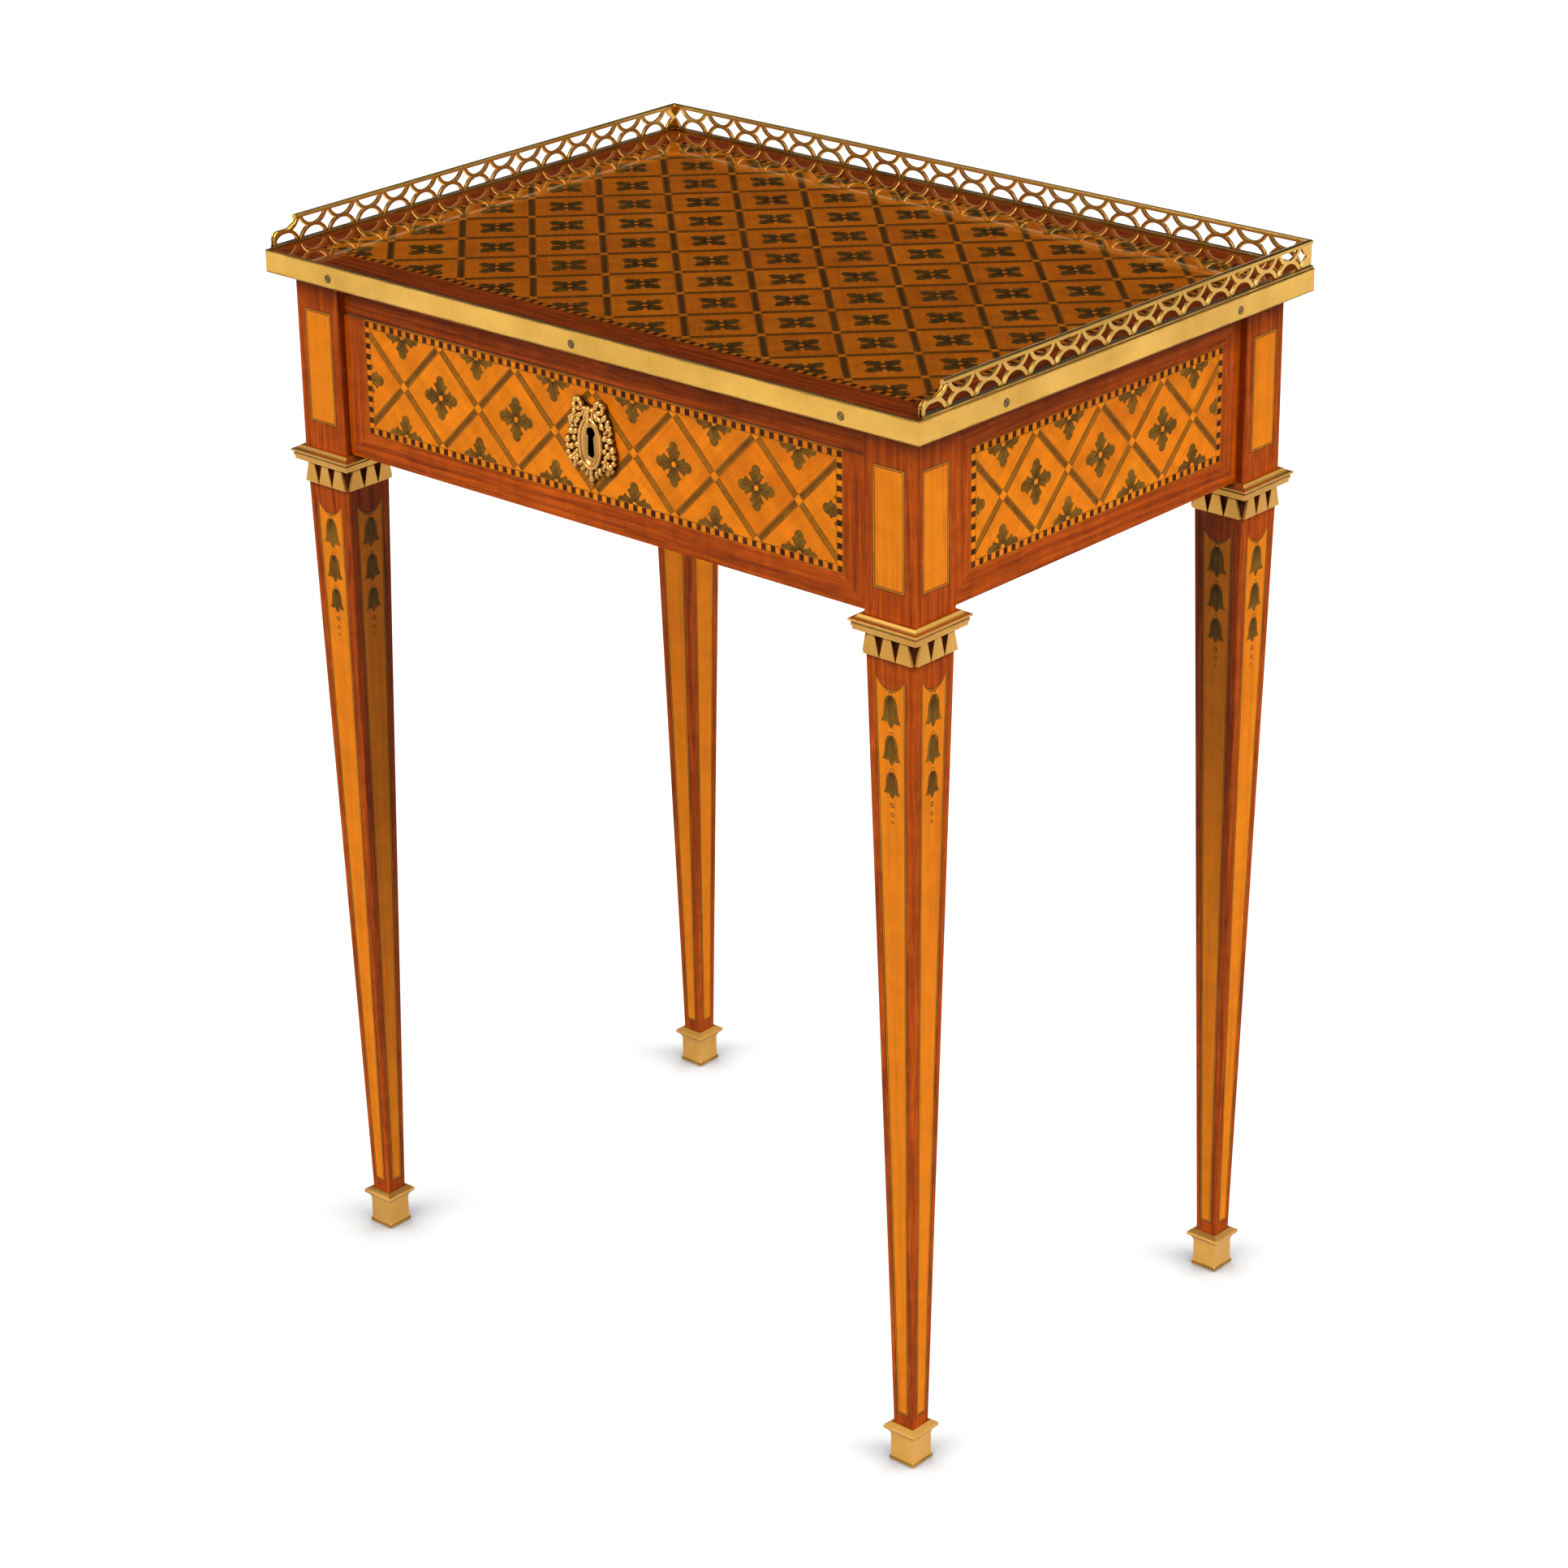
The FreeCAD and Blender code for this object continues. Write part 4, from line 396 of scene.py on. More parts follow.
def brass(name, bright, dull, grime_and_shade, rough, marks=1.0, relief=0.0, seams=(), recess=None):
    """A worked metal. seams are heights (metres) where the metal darkens in a thin line: soiling along the joints, and
    on the feet painted shade under their mouldings too; recess is a pair of places on Y, deep and high, between which
    the darkening of the hollows fades: soiling and painted shade."""
    material = bpy.data.materials.new(name)
    material.use_nodes = True
    tree = material.node_tree
    tree.nodes.clear()
    source = add(tree, "ShaderNodeTexCoord").outputs["Object"]
    wear = add(tree, "ShaderNodeGroup", node_tree=WEAR)
    feed(tree, wear, Vector=source, Mark_Size=60.0)
    cloud = ramp(tree, wear.outputs["Cloud"], 0.38, 0.68)
    base = blend(tree, cloud, bright, dull)
    spots = maths(tree, "MULTIPLY", wear.outputs["Specks"], 0.55 * marks)
    dirty_and_shaded = blend(tree, spots, base, grime_and_shade)
    # dark lines at given heights: soiling, and on the feet painted shade under the mouldings
    if seams:
        height = feed(tree, add(tree, "ShaderNodeSeparateXYZ"), Vector=source).outputs["Z"]
        uneven = maths(tree, "MULTIPLY", noise(tree, source, 60.0, 3.0), 0.0018)
        for seam in seams:
            near = maths(tree, "SUBTRACT", maths(tree, "ABSOLUTE", maths(tree, "SUBTRACT", height, seam)), uneven)
            dirty_and_shaded = blend(tree, ramp(tree, near, 0.0002, -0.0003, 0.0, 0.75), dirty_and_shaded, grime_and_shade)
    # painted shade with soiling: the nearer a point lies to the drawer, the darker it is made
    if recess:
        depth = feed(tree, add(tree, "ShaderNodeSeparateXYZ"), Vector=source).outputs["Y"]
        dirty_and_shaded = blend(tree, ramp(tree, depth, recess[1], recess[0], 0.0, 0.92), dirty_and_shaded, grime_and_shade)
    scratched = blend(tree, maths(tree, "MULTIPLY", wear.outputs["Scratches"], 0.16 * marks),
                      dirty_and_shaded, [min(1.0, c * 1.25) for c in bright[:3]] + [1.0])
    roughness = maths(tree, "ADD", ramp(tree, wear.outputs["Cloud"], 0.3, 0.7, rough, rough + 0.12),
                      maths(tree, "MULTIPLY", wear.outputs["Specks"], 0.15))
    shader = add(tree, "ShaderNodeBsdfPrincipled")
    feed(tree, shader, Base_Color=scratched, Roughness=roughness, Metallic=1.0)
    height = maths(tree, "ADD", wear.outputs["Scratches"],
                   maths(tree, "MULTIPLY", noise(tree, source, 900.0, 2.0), relief))
    bump = add(tree, "ShaderNodeBump")
    feed(tree, bump, Strength=0.12, Distance=0.0001, Height=height)
    feed(tree, shader, Normal=bump.outputs[0])
    output = add(tree, "ShaderNodeOutputMaterial")
    tree.links.new(shader.outputs[0], output.inputs["Surface"])
    return material


mount_brass = brass("mount brass", (0.85, 0.49, 0.10, 1), (0.66, 0.36, 0.06, 1), (0.2, 0.10, 0.022, 1), 0.3,
                    seams=(0.7024, 0.7173))
# the feet's dark lines at the floor and under the flanges and mouldings: soiling and painted shade
foot_brass = brass("foot brass", (0.72, 0.38, 0.085, 1), (0.56, 0.28, 0.055, 1), (0.17, 0.075, 0.015, 1), 0.32, 1.5,
                   seams=(0.0015, 0.0225, 0.5795, 0.5735))
gallery_brass = brass("gallery brass", (0.78, 0.46, 0.11, 1), (0.58, 0.33, 0.07, 1), (0.2, 0.1, 0.02, 1), 0.2,
                      seams=(0.7173, 0.719))
# its hollows near the drawer are darkened: soiling and painted shade
gilt_bronze = brass("gilt bronze", (0.80, 0.45, 0.13, 1), (0.52, 0.26, 0.06, 1), (0.11, 0.045, 0.012, 1),
                    0.31, 2.0, 4.0, recess=(-0.1800, -0.1825))
# a dark bronze: patina, and painted shade where it backs the ornament and lines the shield's groove
patina_and_shade = brass("old gilt", (0.13, 0.06, 0.018, 1), (0.08, 0.035, 0.01, 1), (0.035, 0.015, 0.004, 1), 0.4, 1.4)
# a near black metal for the keyhole's walls: painted shade of the deep hole
painted_shade = brass("soot in the keyhole", (0.012, 0.008, 0.004, 1), (0.008, 0.005, 0.003, 1), (0.004, 0.003, 0.002, 1), 0.7)
screw_brass = brass("screw brass", (0.36, 0.24, 0.09, 1), (0.17, 0.11, 0.04, 1), (0.03, 0.018, 0.008, 1), 0.34, 2.0)
steel = brass("filed steel", (0.34, 0.33, 0.31, 1), (0.22, 0.21, 0.20, 1), (0.06, 0.05, 0.04, 1), 0.36)
print("metals", [m.name for m in (mount_brass, gallery_brass, gilt_bronze, screw_brass, steel)])

# %% [markdown]
# Each sub-part of the frame now gets its finish by name.

# %% finishes on the frame's nodes
FINISHES = [
    ("top_core", pine_along_x), ("top_crossbanding", tulip_top), ("top_checker_stringing", ground_top),
    ("top_marquetry", ground_top), ("edge_band_screws", screw_brass), ("edge_band", mount_brass),
    ("gallery", gallery_brass), ("leg_inlays", satin_upright), ("leg_", tulip_leg),
    ("collar", foot_brass), ("sabot", foot_brass), ("front_top_rail", tulip_rail),
    ("front_bearer_rail", pine_along_x), ("apron_crossbanding_back", tulip_back),
    ("apron_crossbanding", tulip_side), ("apron_marquetry_back", ground_front),
    ("apron_marquetry", ground_side), ("apron_back", pine_along_x), ("apron_", pine_along_y),
    ("drawer_runner", pine_along_y), ("drawer_guide", pine_along_y), ("drawer_kicker", pine_along_y),
    ("glue_blocks", pine_along_x), ("top_screws", steel), ("drawer_front", oak_front),
    ("drawer_crossbanding", tulip_front), ("drawer_marquetry", ground_drawer),
    ("drawer_side", oak_along_y), ("drawer_back", oak_along_x), ("drawer_bottom", oak_along_x),
    ("escutcheon", gilt_bronze), ("lock", steel),
]
for name, node in nodes.items():
    finish = next(material for start, material in FINISHES if name.startswith(start))
    node.data.materials.clear()
    node.data.materials.append(finish)
print("finished nodes", len(nodes))

# %% [markdown]
# What repeats is laid out by Geometry Nodes. The lattice tree copies the modified mesh over a grid of
# points, and over a second grid shifted by half a pitch when Interleaved is on, which is how the
# flowers and bars of this marquetry sit. Turn gives each copy a turn of its own, up to that angle, for
# the slots of the screws. The legs tree turns a motif to the faces of a square leg and
# then sets it on the four legs.

# %% the layout trees


def geometry_tree(name, inputs):
    tree = bpy.data.node_groups.new(name, "GeometryNodeTree")
    tree.interface.new_socket("Motif", in_out="INPUT", socket_type="NodeSocketGeometry")
    for socket, kind, value in inputs:
        tree.interface.new_socket(socket, in_out="INPUT", socket_type=kind).default_value = value
    tree.interface.new_socket("Finish", in_out="INPUT", socket_type="NodeSocketMaterial")
    tree.interface.new_socket("Laid Out", in_out="OUTPUT", socket_type="NodeSocketGeometry")
    return tree, add(tree, "NodeGroupInput"), add(tree, "NodeGroupOutput")


def close_tree(tree, given, result, instances):
    """Realize Instances, then Set Material, as the last two steps of each layout tree."""
    real = feed(tree, add(tree, "GeometryNodeRealizeInstances"), Geometry=instances)
    painted = add(tree, "GeometryNodeSetMaterial")
    feed(tree, painted, Geometry=real.outputs[0], Material=given.outputs["Finish"])
    tree.links.new(painted.outputs[0], result.inputs[0])
    return tree


def grid_size(tree, given, pitch, count):
    """The size of a grid whose neighbours stand one pitch apart."""
    return maths_plain(tree, "MULTIPLY", given.outputs[pitch],
                       maths_plain(tree, "SUBTRACT", given.outputs[count], 1.0))


def maths_plain(tree, operation, first, second):
    node = add(tree, "ShaderNodeMath", operation=operation)
    return feed(tree, node, i0=first, i1=second).outputs[0]


def lattice_tree():
    tree, given, result = geometry_tree(
        "lattice layout",
        [("Pitch U", FLOAT, 0.06), ("Pitch V", FLOAT, 0.06), ("Columns", "NodeSocketInt", 3),
         ("Rows", "NodeSocketInt", 3), ("Shift U", FLOAT, 0.0), ("Shift V", FLOAT, 0.0),
         ("Interleaved", "NodeSocketBool", True), ("Turn", FLOAT, 0.0), ("Seed", "NodeSocketInt", 1)],
    )
    grid = add(tree, "GeometryNodeMeshGrid")
    feed(tree, grid, Size_X=grid_size(tree, given, "Pitch U", "Columns"),
         Size_Y=grid_size(tree, given, "Pitch V", "Rows"),
         Vertices_X=given.outputs["Columns"], Vertices_Y=given.outputs["Rows"])
    half = feed(tree, add(tree, "ShaderNodeCombineXYZ"),
                X=maths_plain(tree, "MULTIPLY", given.outputs["Pitch U"], 0.5),
                Y=maths_plain(tree, "MULTIPLY", given.outputs["Pitch V"], 0.5))
    twin = feed(tree, add(tree, "GeometryNodeTransform"), Geometry=grid.outputs[0],
                Translation=half.outputs[0])
    both = add(tree, "GeometryNodeJoinGeometry")
    tree.links.new(grid.outputs[0], both.inputs[0])
    tree.links.new(twin.outputs[0], both.inputs[0])
    choice = add(tree, "GeometryNodeSwitch", input_type="GEOMETRY")
    feed(tree, choice, i0=given.outputs["Interleaved"], i1=grid.outputs[0], i2=both.outputs[0])
    shift = feed(tree, add(tree, "ShaderNodeCombineXYZ"), X=given.outputs["Shift U"],
                 Y=given.outputs["Shift V"])
    moved = feed(tree, add(tree, "GeometryNodeTransform"), Geometry=choice.outputs[0],
                 Translation=shift.outputs[0])
    spin = add(tree, "FunctionNodeRandomValue", data_type="FLOAT")
    feed(tree, spin, i2=0.0, i3=given.outputs["Turn"], i8=given.outputs["Seed"])
    rotation = feed(tree, add(tree, "ShaderNodeCombineXYZ"), Z=spin.outputs[1])
    copies = feed(tree, add(tree, "GeometryNodeInstanceOnPoints"), Points=moved.outputs[0],
                  Instance=given.outputs["Motif"], Rotation=rotation.outputs[0])
    return close_tree(tree, given, result, copies.outputs[0])


def legs_tree():
    tree, given, result = geometry_tree(
        "on every leg",
        [("Spacing X", FLOAT, 0.48), ("Spacing Y", FLOAT, 0.33), ("Faces", "NodeSocketInt", 4)],
    )
    turns = feed(tree, add(tree, "GeometryNodeMeshLine"), Count=given.outputs["Faces"])
    turns.inputs["Offset"].default_value = (0.0, 0.0, 0.0)
    index = add(tree, "GeometryNodeInputIndex")
    angle = maths_plain(tree, "MULTIPLY", index.outputs[0], math.pi / 2)
    rotation = feed(tree, add(tree, "ShaderNodeCombineXYZ"), Z=angle)
    faces = feed(tree, add(tree, "GeometryNodeInstanceOnPoints"), Points=turns.outputs[0],
                 Instance=given.outputs["Motif"], Rotation=rotation.outputs[0])
    corners = add(tree, "GeometryNodeMeshGrid")
    feed(tree, corners, Size_X=given.outputs["Spacing X"], Size_Y=given.outputs["Spacing Y"],
         Vertices_X=2, Vertices_Y=2)
    copies = feed(tree, add(tree, "GeometryNodeInstanceOnPoints"), Points=corners.outputs[0],
                  Instance=faces.outputs[0])
    return close_tree(tree, given, result, copies.outputs[0])


LATTICE = lattice_tree()
ON_LEGS = legs_tree()
print("layout trees", LATTICE.name, "and", ON_LEGS.name)

# %% [markdown]
# Flat shapes start as outlines in millimetres. A layout is evaluated, turned into a plain mesh, cut
# off at the panel's edges where it runs past them, given a little thickness, and set on its panel.

# %% shapes and layouts


def flat_mesh(name, outlines):
    """A mesh of flat faces from outlines of (u, v) millimetre points, all facing +Z."""
    mesh = bpy.data.meshes.new(name)
    points, faces = [], []
    for outline in outlines:
        area = sum(a[0] * b[1] - b[0] * a[1] for a, b in zip(outline, outline[1:] + outline[:1]))
        ordered = outline if area > 0 else outline[::-1]
        faces.append(range(len(points), len(points) + len(ordered)))
        points += [(u * MM, v * MM, 0.0) for u, v in ordered]
    mesh.from_pydata(points, [], [list(f) for f in faces])
    return mesh


def laid_out(motif, tree, material, **settings):
    """The motif mesh, laid out by a tree, as a plain mesh."""
    carrier = bpy.data.objects.new("layout", motif)
    bpy.context.scene.collection.objects.link(carrier)
    modifier = carrier.modifiers.new("layout", "NODES")
    modifier.node_group = tree
    settings["Finish"] = material
    for socket in tree.interface.items_tree:
        if socket.in_out == "INPUT" and socket.name in settings:
            modifier[socket.identifier] = settings[socket.name]
    bpy.context.view_layer.update()
    graph = bpy.context.evaluated_depsgraph_get()
    made = bpy.data.meshes.new_from_object(carrier.evaluated_get(graph), depsgraph=graph)
    carrier.modifiers.remove(modifier)
    bpy.data.objects.remove(carrier)
    return made


def cut_to(mesh, half_u, half_v):
    """Cuts away what runs past a rectangle about the origin (millimetres)."""
    work = bmesh.new()
    work.from_mesh(mesh)
    for axis, reach in ((0, half_u), (1, half_v)):
        for sign in (-1, 1):
            normal = Vector((0, 0, 0))
            normal[axis] = sign
            every = work.verts[:] + work.edges[:] + work.faces[:]
            bmesh.ops.bisect_plane(work, geom=every, dist=1e-7, plane_co=normal * reach * MM,
                                   plane_no=normal, clear_outer=True)
    work.to_mesh(mesh)
    work.free()
    return mesh


def thickened(mesh, proud, depth=0.12):
    """Closed plates from flat faces: their tops stand proud (mm) of zero, their undersides below."""
    work = bmesh.new()
    work.from_mesh(mesh)
    flat = work.faces[:]
    down = bmesh.ops.extrude_face_region(work, geom=flat)
    fresh = [e for e in down["geom"] if isinstance(e, bmesh.types.BMVert)]
    for vert in fresh:
        vert.co.z = proud * MM
    for vert in set(work.verts) - set(fresh):
        vert.co.z = (proud - depth) * MM
    bmesh.ops.recalc_face_normals(work, faces=work.faces[:])
    work.to_mesh(mesh)
    work.free()
    return mesh


def painted(mesh, material):
    mesh.materials.clear()
    mesh.materials.append(material)
    return mesh


def piece(name, meshes, body, smooth=False):
    """Joins meshes, each with its materials, into one object on a body; smooth None keeps each face's own."""
    joined = bmesh.new()
    materials = []
    for mesh in meshes:
        for material in mesh.materials:
            if material not in materials:
                materials.append(material)
        start = len(joined.faces)
        joined.from_mesh(mesh)
        joined.faces.ensure_lookup_table()
        for face in joined.faces[start:]:
            face.material_index = materials.index(mesh.materials[face.material_index])
            face.smooth = face.smooth if smooth is None else smooth
    whole = bpy.data.meshes.new(name)
    joined.to_mesh(whole)
    joined.free()
    for material in materials:
        whole.materials.append(material)
    thing = bpy.data.objects.new(name, whole)
    bpy.context.scene.collection.objects.link(thing)
    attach(thing, body)
    triangles = sum(len(p.vertices) - 2 for p in whole.polygons)
    print("piece", name, "triangles", triangles)
    return thing


# %% [markdown]
# One flower has four petals. Each petal is cut like an oak leaf with a round tip and a lobe on either
# side, and the four meet near the middle round a small pale dot. Half an outline is enough: it is
# mirrored, then turned four times.

# %% the flower
HALF_PETAL = [(0.0, 14.7), (1.3, 14.5), (2.4, 13.8), (3.2, 12.7), (3.6, 11.5), (3.6, 10.5), (3.4, 9.9),
              (4.2, 9.75), (5.1, 9.3), (5.8, 8.6), (5.9, 7.9), (5.5, 7.3), (4.7, 7.0), (4.35, 6.2), (4.2, 5.4),
              (3.7, 4.7), (3.5, 3.9)]


def turned(points, degrees):
    c, s = math.cos(math.radians(degrees)), math.sin(math.radians(degrees))
    return [(u * c - v * s, u * s + v * c) for u, v in points]


def flower_outline():
    whole = []
    left = [(-u, v) for u, v in HALF_PETAL[1:]][::-1]
    for quarter in range(4):
        whole += turned(left + HALF_PETAL, -90 * quarter)
    return whole


def vein(start, bend, end, width):
    """A tapering engraved line through three points."""
    line = []
    steps = 5
    for step in range(steps + 1):
        t = step / steps
        u = (1 - t) ** 2 * start[0] + 2 * t * (1 - t) * bend[0] + t * t * end[0]
        v = (1 - t) ** 2 * start[1] + 2 * t * (1 - t) * bend[1] + t * t * end[1]
        line.append((u, v, width * (1 - 0.75 * t)))
    near, far = [], []
    for place, (u, v, w) in enumerate(line):
        after = line[min(place + 1, steps)]
        before = line[max(place - 1, 0)]
        du, dv = after[0] - before[0], after[1] - before[1]
        size = math.hypot(du, dv) or 1.0
        near.append((u - dv / size * w / 2, v + du / size * w / 2))
        far.append((u + dv / size * w / 2, v - du / size * w / 2))
    return near + far[::-1]


def flower_veins():
    petal = [vein((0.0, 1.9), (0.7, 6.0), (-0.3, 11.6), 0.6)]
    for side in (-1, 1):
        petal.append(vein((side * 0.6, 2.0), (side * 0.6, 5.6), (side * 2.2, 9.8), 0.36))
        petal.append(vein((side * 1.1, 2.0), (side * 2.0, 4.8), (side * 4.7, 8.2), 0.42))
        petal.append(vein((side * 1.5, 2.1), (side * 2.4, 3.6), (side * 3.7, 5.4), 0.3))
    return [turned(line, -90 * quarter) for quarter in range(4) for line in petal]


def ring_outline(radius, count=14, centre=(0.0, 0.0)):
    turn = 2 * math.pi / count
    return [(centre[0] + radius * math.cos(turn * k), centre[1] + radius * math.sin(turn * k))
            for k in range(count)]


def box_outline(half_u, half_v, centre=(0.0, 0.0)):
    return [(centre[0] + a * half_u, centre[1] + b * half_v)
            for a, b in ((-1, -1), (1, -1), (1, 1), (-1, 1))]


# %% [markdown]
# The lattice bars are three slips wide: a greened core with fine dark lines at its edges. They run
# from crossing to crossing, where a small pale square is let in. Round the field runs the checker
# line: dark and pale blocks between two thin lines.

# %% one marquetry panel
SQUARE_HALF = 2.6
BAR_HALF = 2.3
LINE_BAND = 5.2
CHECK_HALF = 1.85


def ring_frame(half_u, half_v, width):
    """The four mitred sides of a thin frame whose outer edge is given."""
    outer = [(-half_u, -half_v), (half_u, -half_v), (half_u, half_v), (-half_u, half_v)]
    inner = [(u - math.copysign(width, u), v - math.copysign(width, v)) for u, v in outer]
    return [[outer[k], outer[(k + 1) % 4], inner[(k + 1) % 4], inner[k]] for k in range(4)]


def lattice_bars(pitch_u, pitch_v, falling, offset, half_width):
    """One slip of a bar about its own middle, turned to the lattice's slope."""
    slope = math.degrees(math.atan2(pitch_v, pitch_u)) * (-1 if falling else 1)
    length = math.hypot(pitch_u / 4, pitch_v / 4) - SQUARE_HALF
    return turned(box_outline(length, half_width, (0.0, offset)), slope)


def checker_counts(half_u, half_v):
    """How many dark blocks lie along the long and the short sides, corners dark."""
    pitch = 7.55
    along = round((2 * half_u - 2 * CHECK_HALF) / pitch)
    up = round((2 * half_v - 2 * CHECK_HALF) / pitch)
    return along, up


def cleared(mesh, half_u, half_v):
    """Takes out the flat shapes whose middle lies within a rectangle about the origin (millimetres)."""
    work = bmesh.new()
    work.from_mesh(mesh)
    inside = [f for f in work.faces if abs(f.calc_center_median().x) < half_u * MM
              and abs(f.calc_center_median().y) < half_v * MM]
    bmesh.ops.delete(work, geom=inside, context="FACES")
    work.to_mesh(mesh)
    work.free()
    return mesh


def marquetry(woods, half_u, half_v, pitch_u, pitch_v, strong_falling=True, clear=(0.0, 0.0)):
    """All the inlay of one panel in its own plane, as meshes about the field's centre."""
    columns = 2 * math.ceil(half_u / pitch_u) + 3
    rows = 2 * math.ceil(half_v / pitch_v) + 3
    grid = {"Pitch U": pitch_u * MM, "Pitch V": pitch_v * MM, "Columns": columns, "Rows": rows,
            "Interleaved": True}

    def layer(outlines, wood, proud, shift=(0.0, 0.0)):
        settings = dict(grid)
        settings["Shift U"] = shift[0] * MM
        settings["Shift V"] = shift[1] * MM
        made = laid_out(flat_mesh(wood, outlines), LATTICE, woods[wood], **settings)
        return thickened(cleared(cut_to(made, half_u, half_v), *clear), proud)

    made = []
    for falling in (True, False):
        shift = (pitch_u / 4 if falling else -pitch_u / 4, pitch_v / 4)
        strong = falling == strong_falling
        wood = "dark bar" if strong else "bar"
        made.append(layer([lattice_bars(pitch_u, pitch_v, falling, 0.0, BAR_HALF)], wood, 0.03, shift))
        if strong:
            lines, pales = ((2.2, 0.16), (1.38, 0.12)), ((1.79, 0.27),)
        else:
            lines, pales = ((2.24, 0.12), (1.3, 0.06)), ()
        for slips, kind, proud in ((pales, "pale line", 0.045), (lines, "ebony", 0.05)):
            both = [(side * o, w) for o, w in slips for side in (-1, 1)]
            if both:
                made.append(layer([lattice_bars(pitch_u, pitch_v, falling, o, w) for o, w in both],
                                  kind, proud, shift))
    slope = math.degrees(math.atan2(pitch_v, pitch_u))
    crossing = (pitch_u / 2, 0.0)
    made.append(layer([turned(box_outline(SQUARE_HALF + 0.18, SQUARE_HALF + 0.18), slope)],
                      "ebony", 0.055, crossing))
    made.append(layer([turned(box_outline(SQUARE_HALF, SQUARE_HALF), slope)], "dot", 0.07, crossing))
    made.append(layer([flower_outline()], "leaf", 0.04))
    made.append(layer(flower_veins(), "ebony", 0.06))
    made.append(layer([ring_outline(1.8)], "dot", 0.08))
    return made


def checker_line(woods, half_u, half_v):
    """The checker line round a field, whose half sizes are given (millimetres)."""
    outer_u, outer_v = half_u + LINE_BAND, half_v + LINE_BAND
    middle_u, middle_v = half_u + LINE_BAND / 2, half_v + LINE_BAND / 2
    along, up = checker_counts(middle_u + CHECK_HALF, middle_v + CHECK_HALF)
    block = flat_mesh("checker", [box_outline(CHECK_HALF, CHECK_HALF + 0.1)])
    rows = laid_out(block, LATTICE, woods["block"], **{
        "Pitch U": 2 * middle_u * MM / along, "Pitch V": 2 * middle_v * MM, "Columns": along + 1,
        "Rows": 2, "Shift U": 0.0, "Shift V": 0.0, "Interleaved": False})
    block = flat_mesh("checker", [box_outline(CHECK_HALF + 0.1, CHECK_HALF)])
    pitch = 2 * middle_v / up
    sides = laid_out(block, LATTICE, woods["block"], **{
        "Pitch U": 2 * middle_u * MM, "Pitch V": pitch * MM, "Columns": 2,
        "Rows": up - 1, "Shift U": 0.0, "Shift V": 0.0, "Interleaved": False})
    edges = painted(flat_mesh("lines", ring_frame(outer_u, outer_v, 0.6)
                              + ring_frame(half_u + 0.6, half_v + 0.6, 0.6)), woods["bar"])
    return [thickened(rows, 0.05), thickened(sides, 0.05), thickened(edges, 0.06)]


def onto(meshes, origin, u_axis, v_axis):
    """Sets flat layers on a panel with this origin and these two directions in its plane."""
    u, v = Vector(u_axis), Vector(v_axis)
    n = u.cross(v)
    place = Matrix((u, v, n)).transposed().to_4x4()
    place.translation = Vector(origin)
    for mesh in meshes:
        mesh.transform(place)
    return meshes


# %% the five panels
TOP_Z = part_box("top_marquetry")[1].z
top_field = marquetry(WOODS["top"], 244.8, 165.3, 64.3, 64.8)
top_line = checker_line(WOODS["top"], 244.8, 165.3)
seam = thickened(flat_mesh("seam", ring_frame(272.85, 193.35, 0.4)), 0.04)
top_line.append(painted(seam, WOODS["top"]["ebony"]))
piece("top_inlay", onto(top_field, (0, 0, TOP_Z), X, Y), "table")
piece("top_checker_line", onto(top_line, (0, 0, TOP_Z), X, Y), "table")

DRAWER_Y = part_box("drawer_marquetry")[0].y
front = marquetry(WOODS["front"], 197.4, 33.3, 67.2, 67.2, strong_falling=False, clear=(9.0, 15.0))
front += checker_line(WOODS["front"], 197.4, 33.3)
piece("drawer_inlay", onto(front, (0, DRAWER_Y, 0.6415), X, Z), "drawer")

SIDE_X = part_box("apron_marquetry_right")[1].x
for name, sign in (("right", 1), ("left", -1)):
    side = marquetry(WOODS["side"], 120.0, 33.0, 63.2, 65.0, strong_falling=True)
    side += checker_line(WOODS["side"], 120.0, 33.0)
    across = (0, sign, 0)
    piece(f"apron_inlay_{name}", onto(side, (sign * SIDE_X, 0, 0.6412), across, Z), "table")
BACK_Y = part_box("apron_marquetry_back")[1].y
back = marquetry(WOODS["front"], 198.0, 33.0, 67.2, 66.0)
back += checker_line(WOODS["front"], 198.0, 33.0)
piece("apron_inlay_back", onto(back, (0, BACK_Y, 0.6412), (-1, 0, 0), Z), "table")

# %% [markdown]
# The legs carry bellflower drops: three husks, each smaller than the one above, then three beads.
# The motif is drawn on the front face of one leg, follows the taper, and goes to all sixteen faces.

# %% bellflowers
LEG_X, LEG_Y = 0.2415, 0.1635
TAPER_TOP, TAPER_HALF, TAPER_SLOPE = 0.5845, 0.0193, 0.020275
HALF_BELL = [(0.0, 1.0), (0.16, 0.99), (0.42, 0.92), (0.6, 0.80), (0.70, 0.64), (0.72, 0.46),
             (0.80, 0.32), (1.04, 0.15), (0.76, 0.19), (0.55, 0.15), (0.36, 0.21), (0.16, 0.07), (0.0, 0.0)]
BELLS = [(537.0, 515.0, 7.7), (511.0, 490.6, 7.2), (487.2, 469.0, 6.5)]
BEADS = [(465.0, 1.7), (458.8, 1.45), (453.6, 1.2)]


def bell_outline(top, foot, half):
    right = [(half * u, foot + (top - foot) * v) for u, v in HALF_BELL]
    return right + [(-u, v) for u, v in right[1:-1]][::-1]


def bell_lines(top, foot, half):
    tall = top - foot
    lines = [vein((0.0, top - 1.0), (0.2, foot + tall * 0.5), (0.0, foot + 0.8), 0.5)]
    for side in (-1, 1):
        for reach, end in ((0.28, 0.14), (0.55, 0.24)):
            lines.append(vein((side * 0.6, top - 1.4), (side * half * reach * 0.9, foot + tall * 0.6),
                              (side * half * reach, foot + tall * end), 0.5))
    return lines


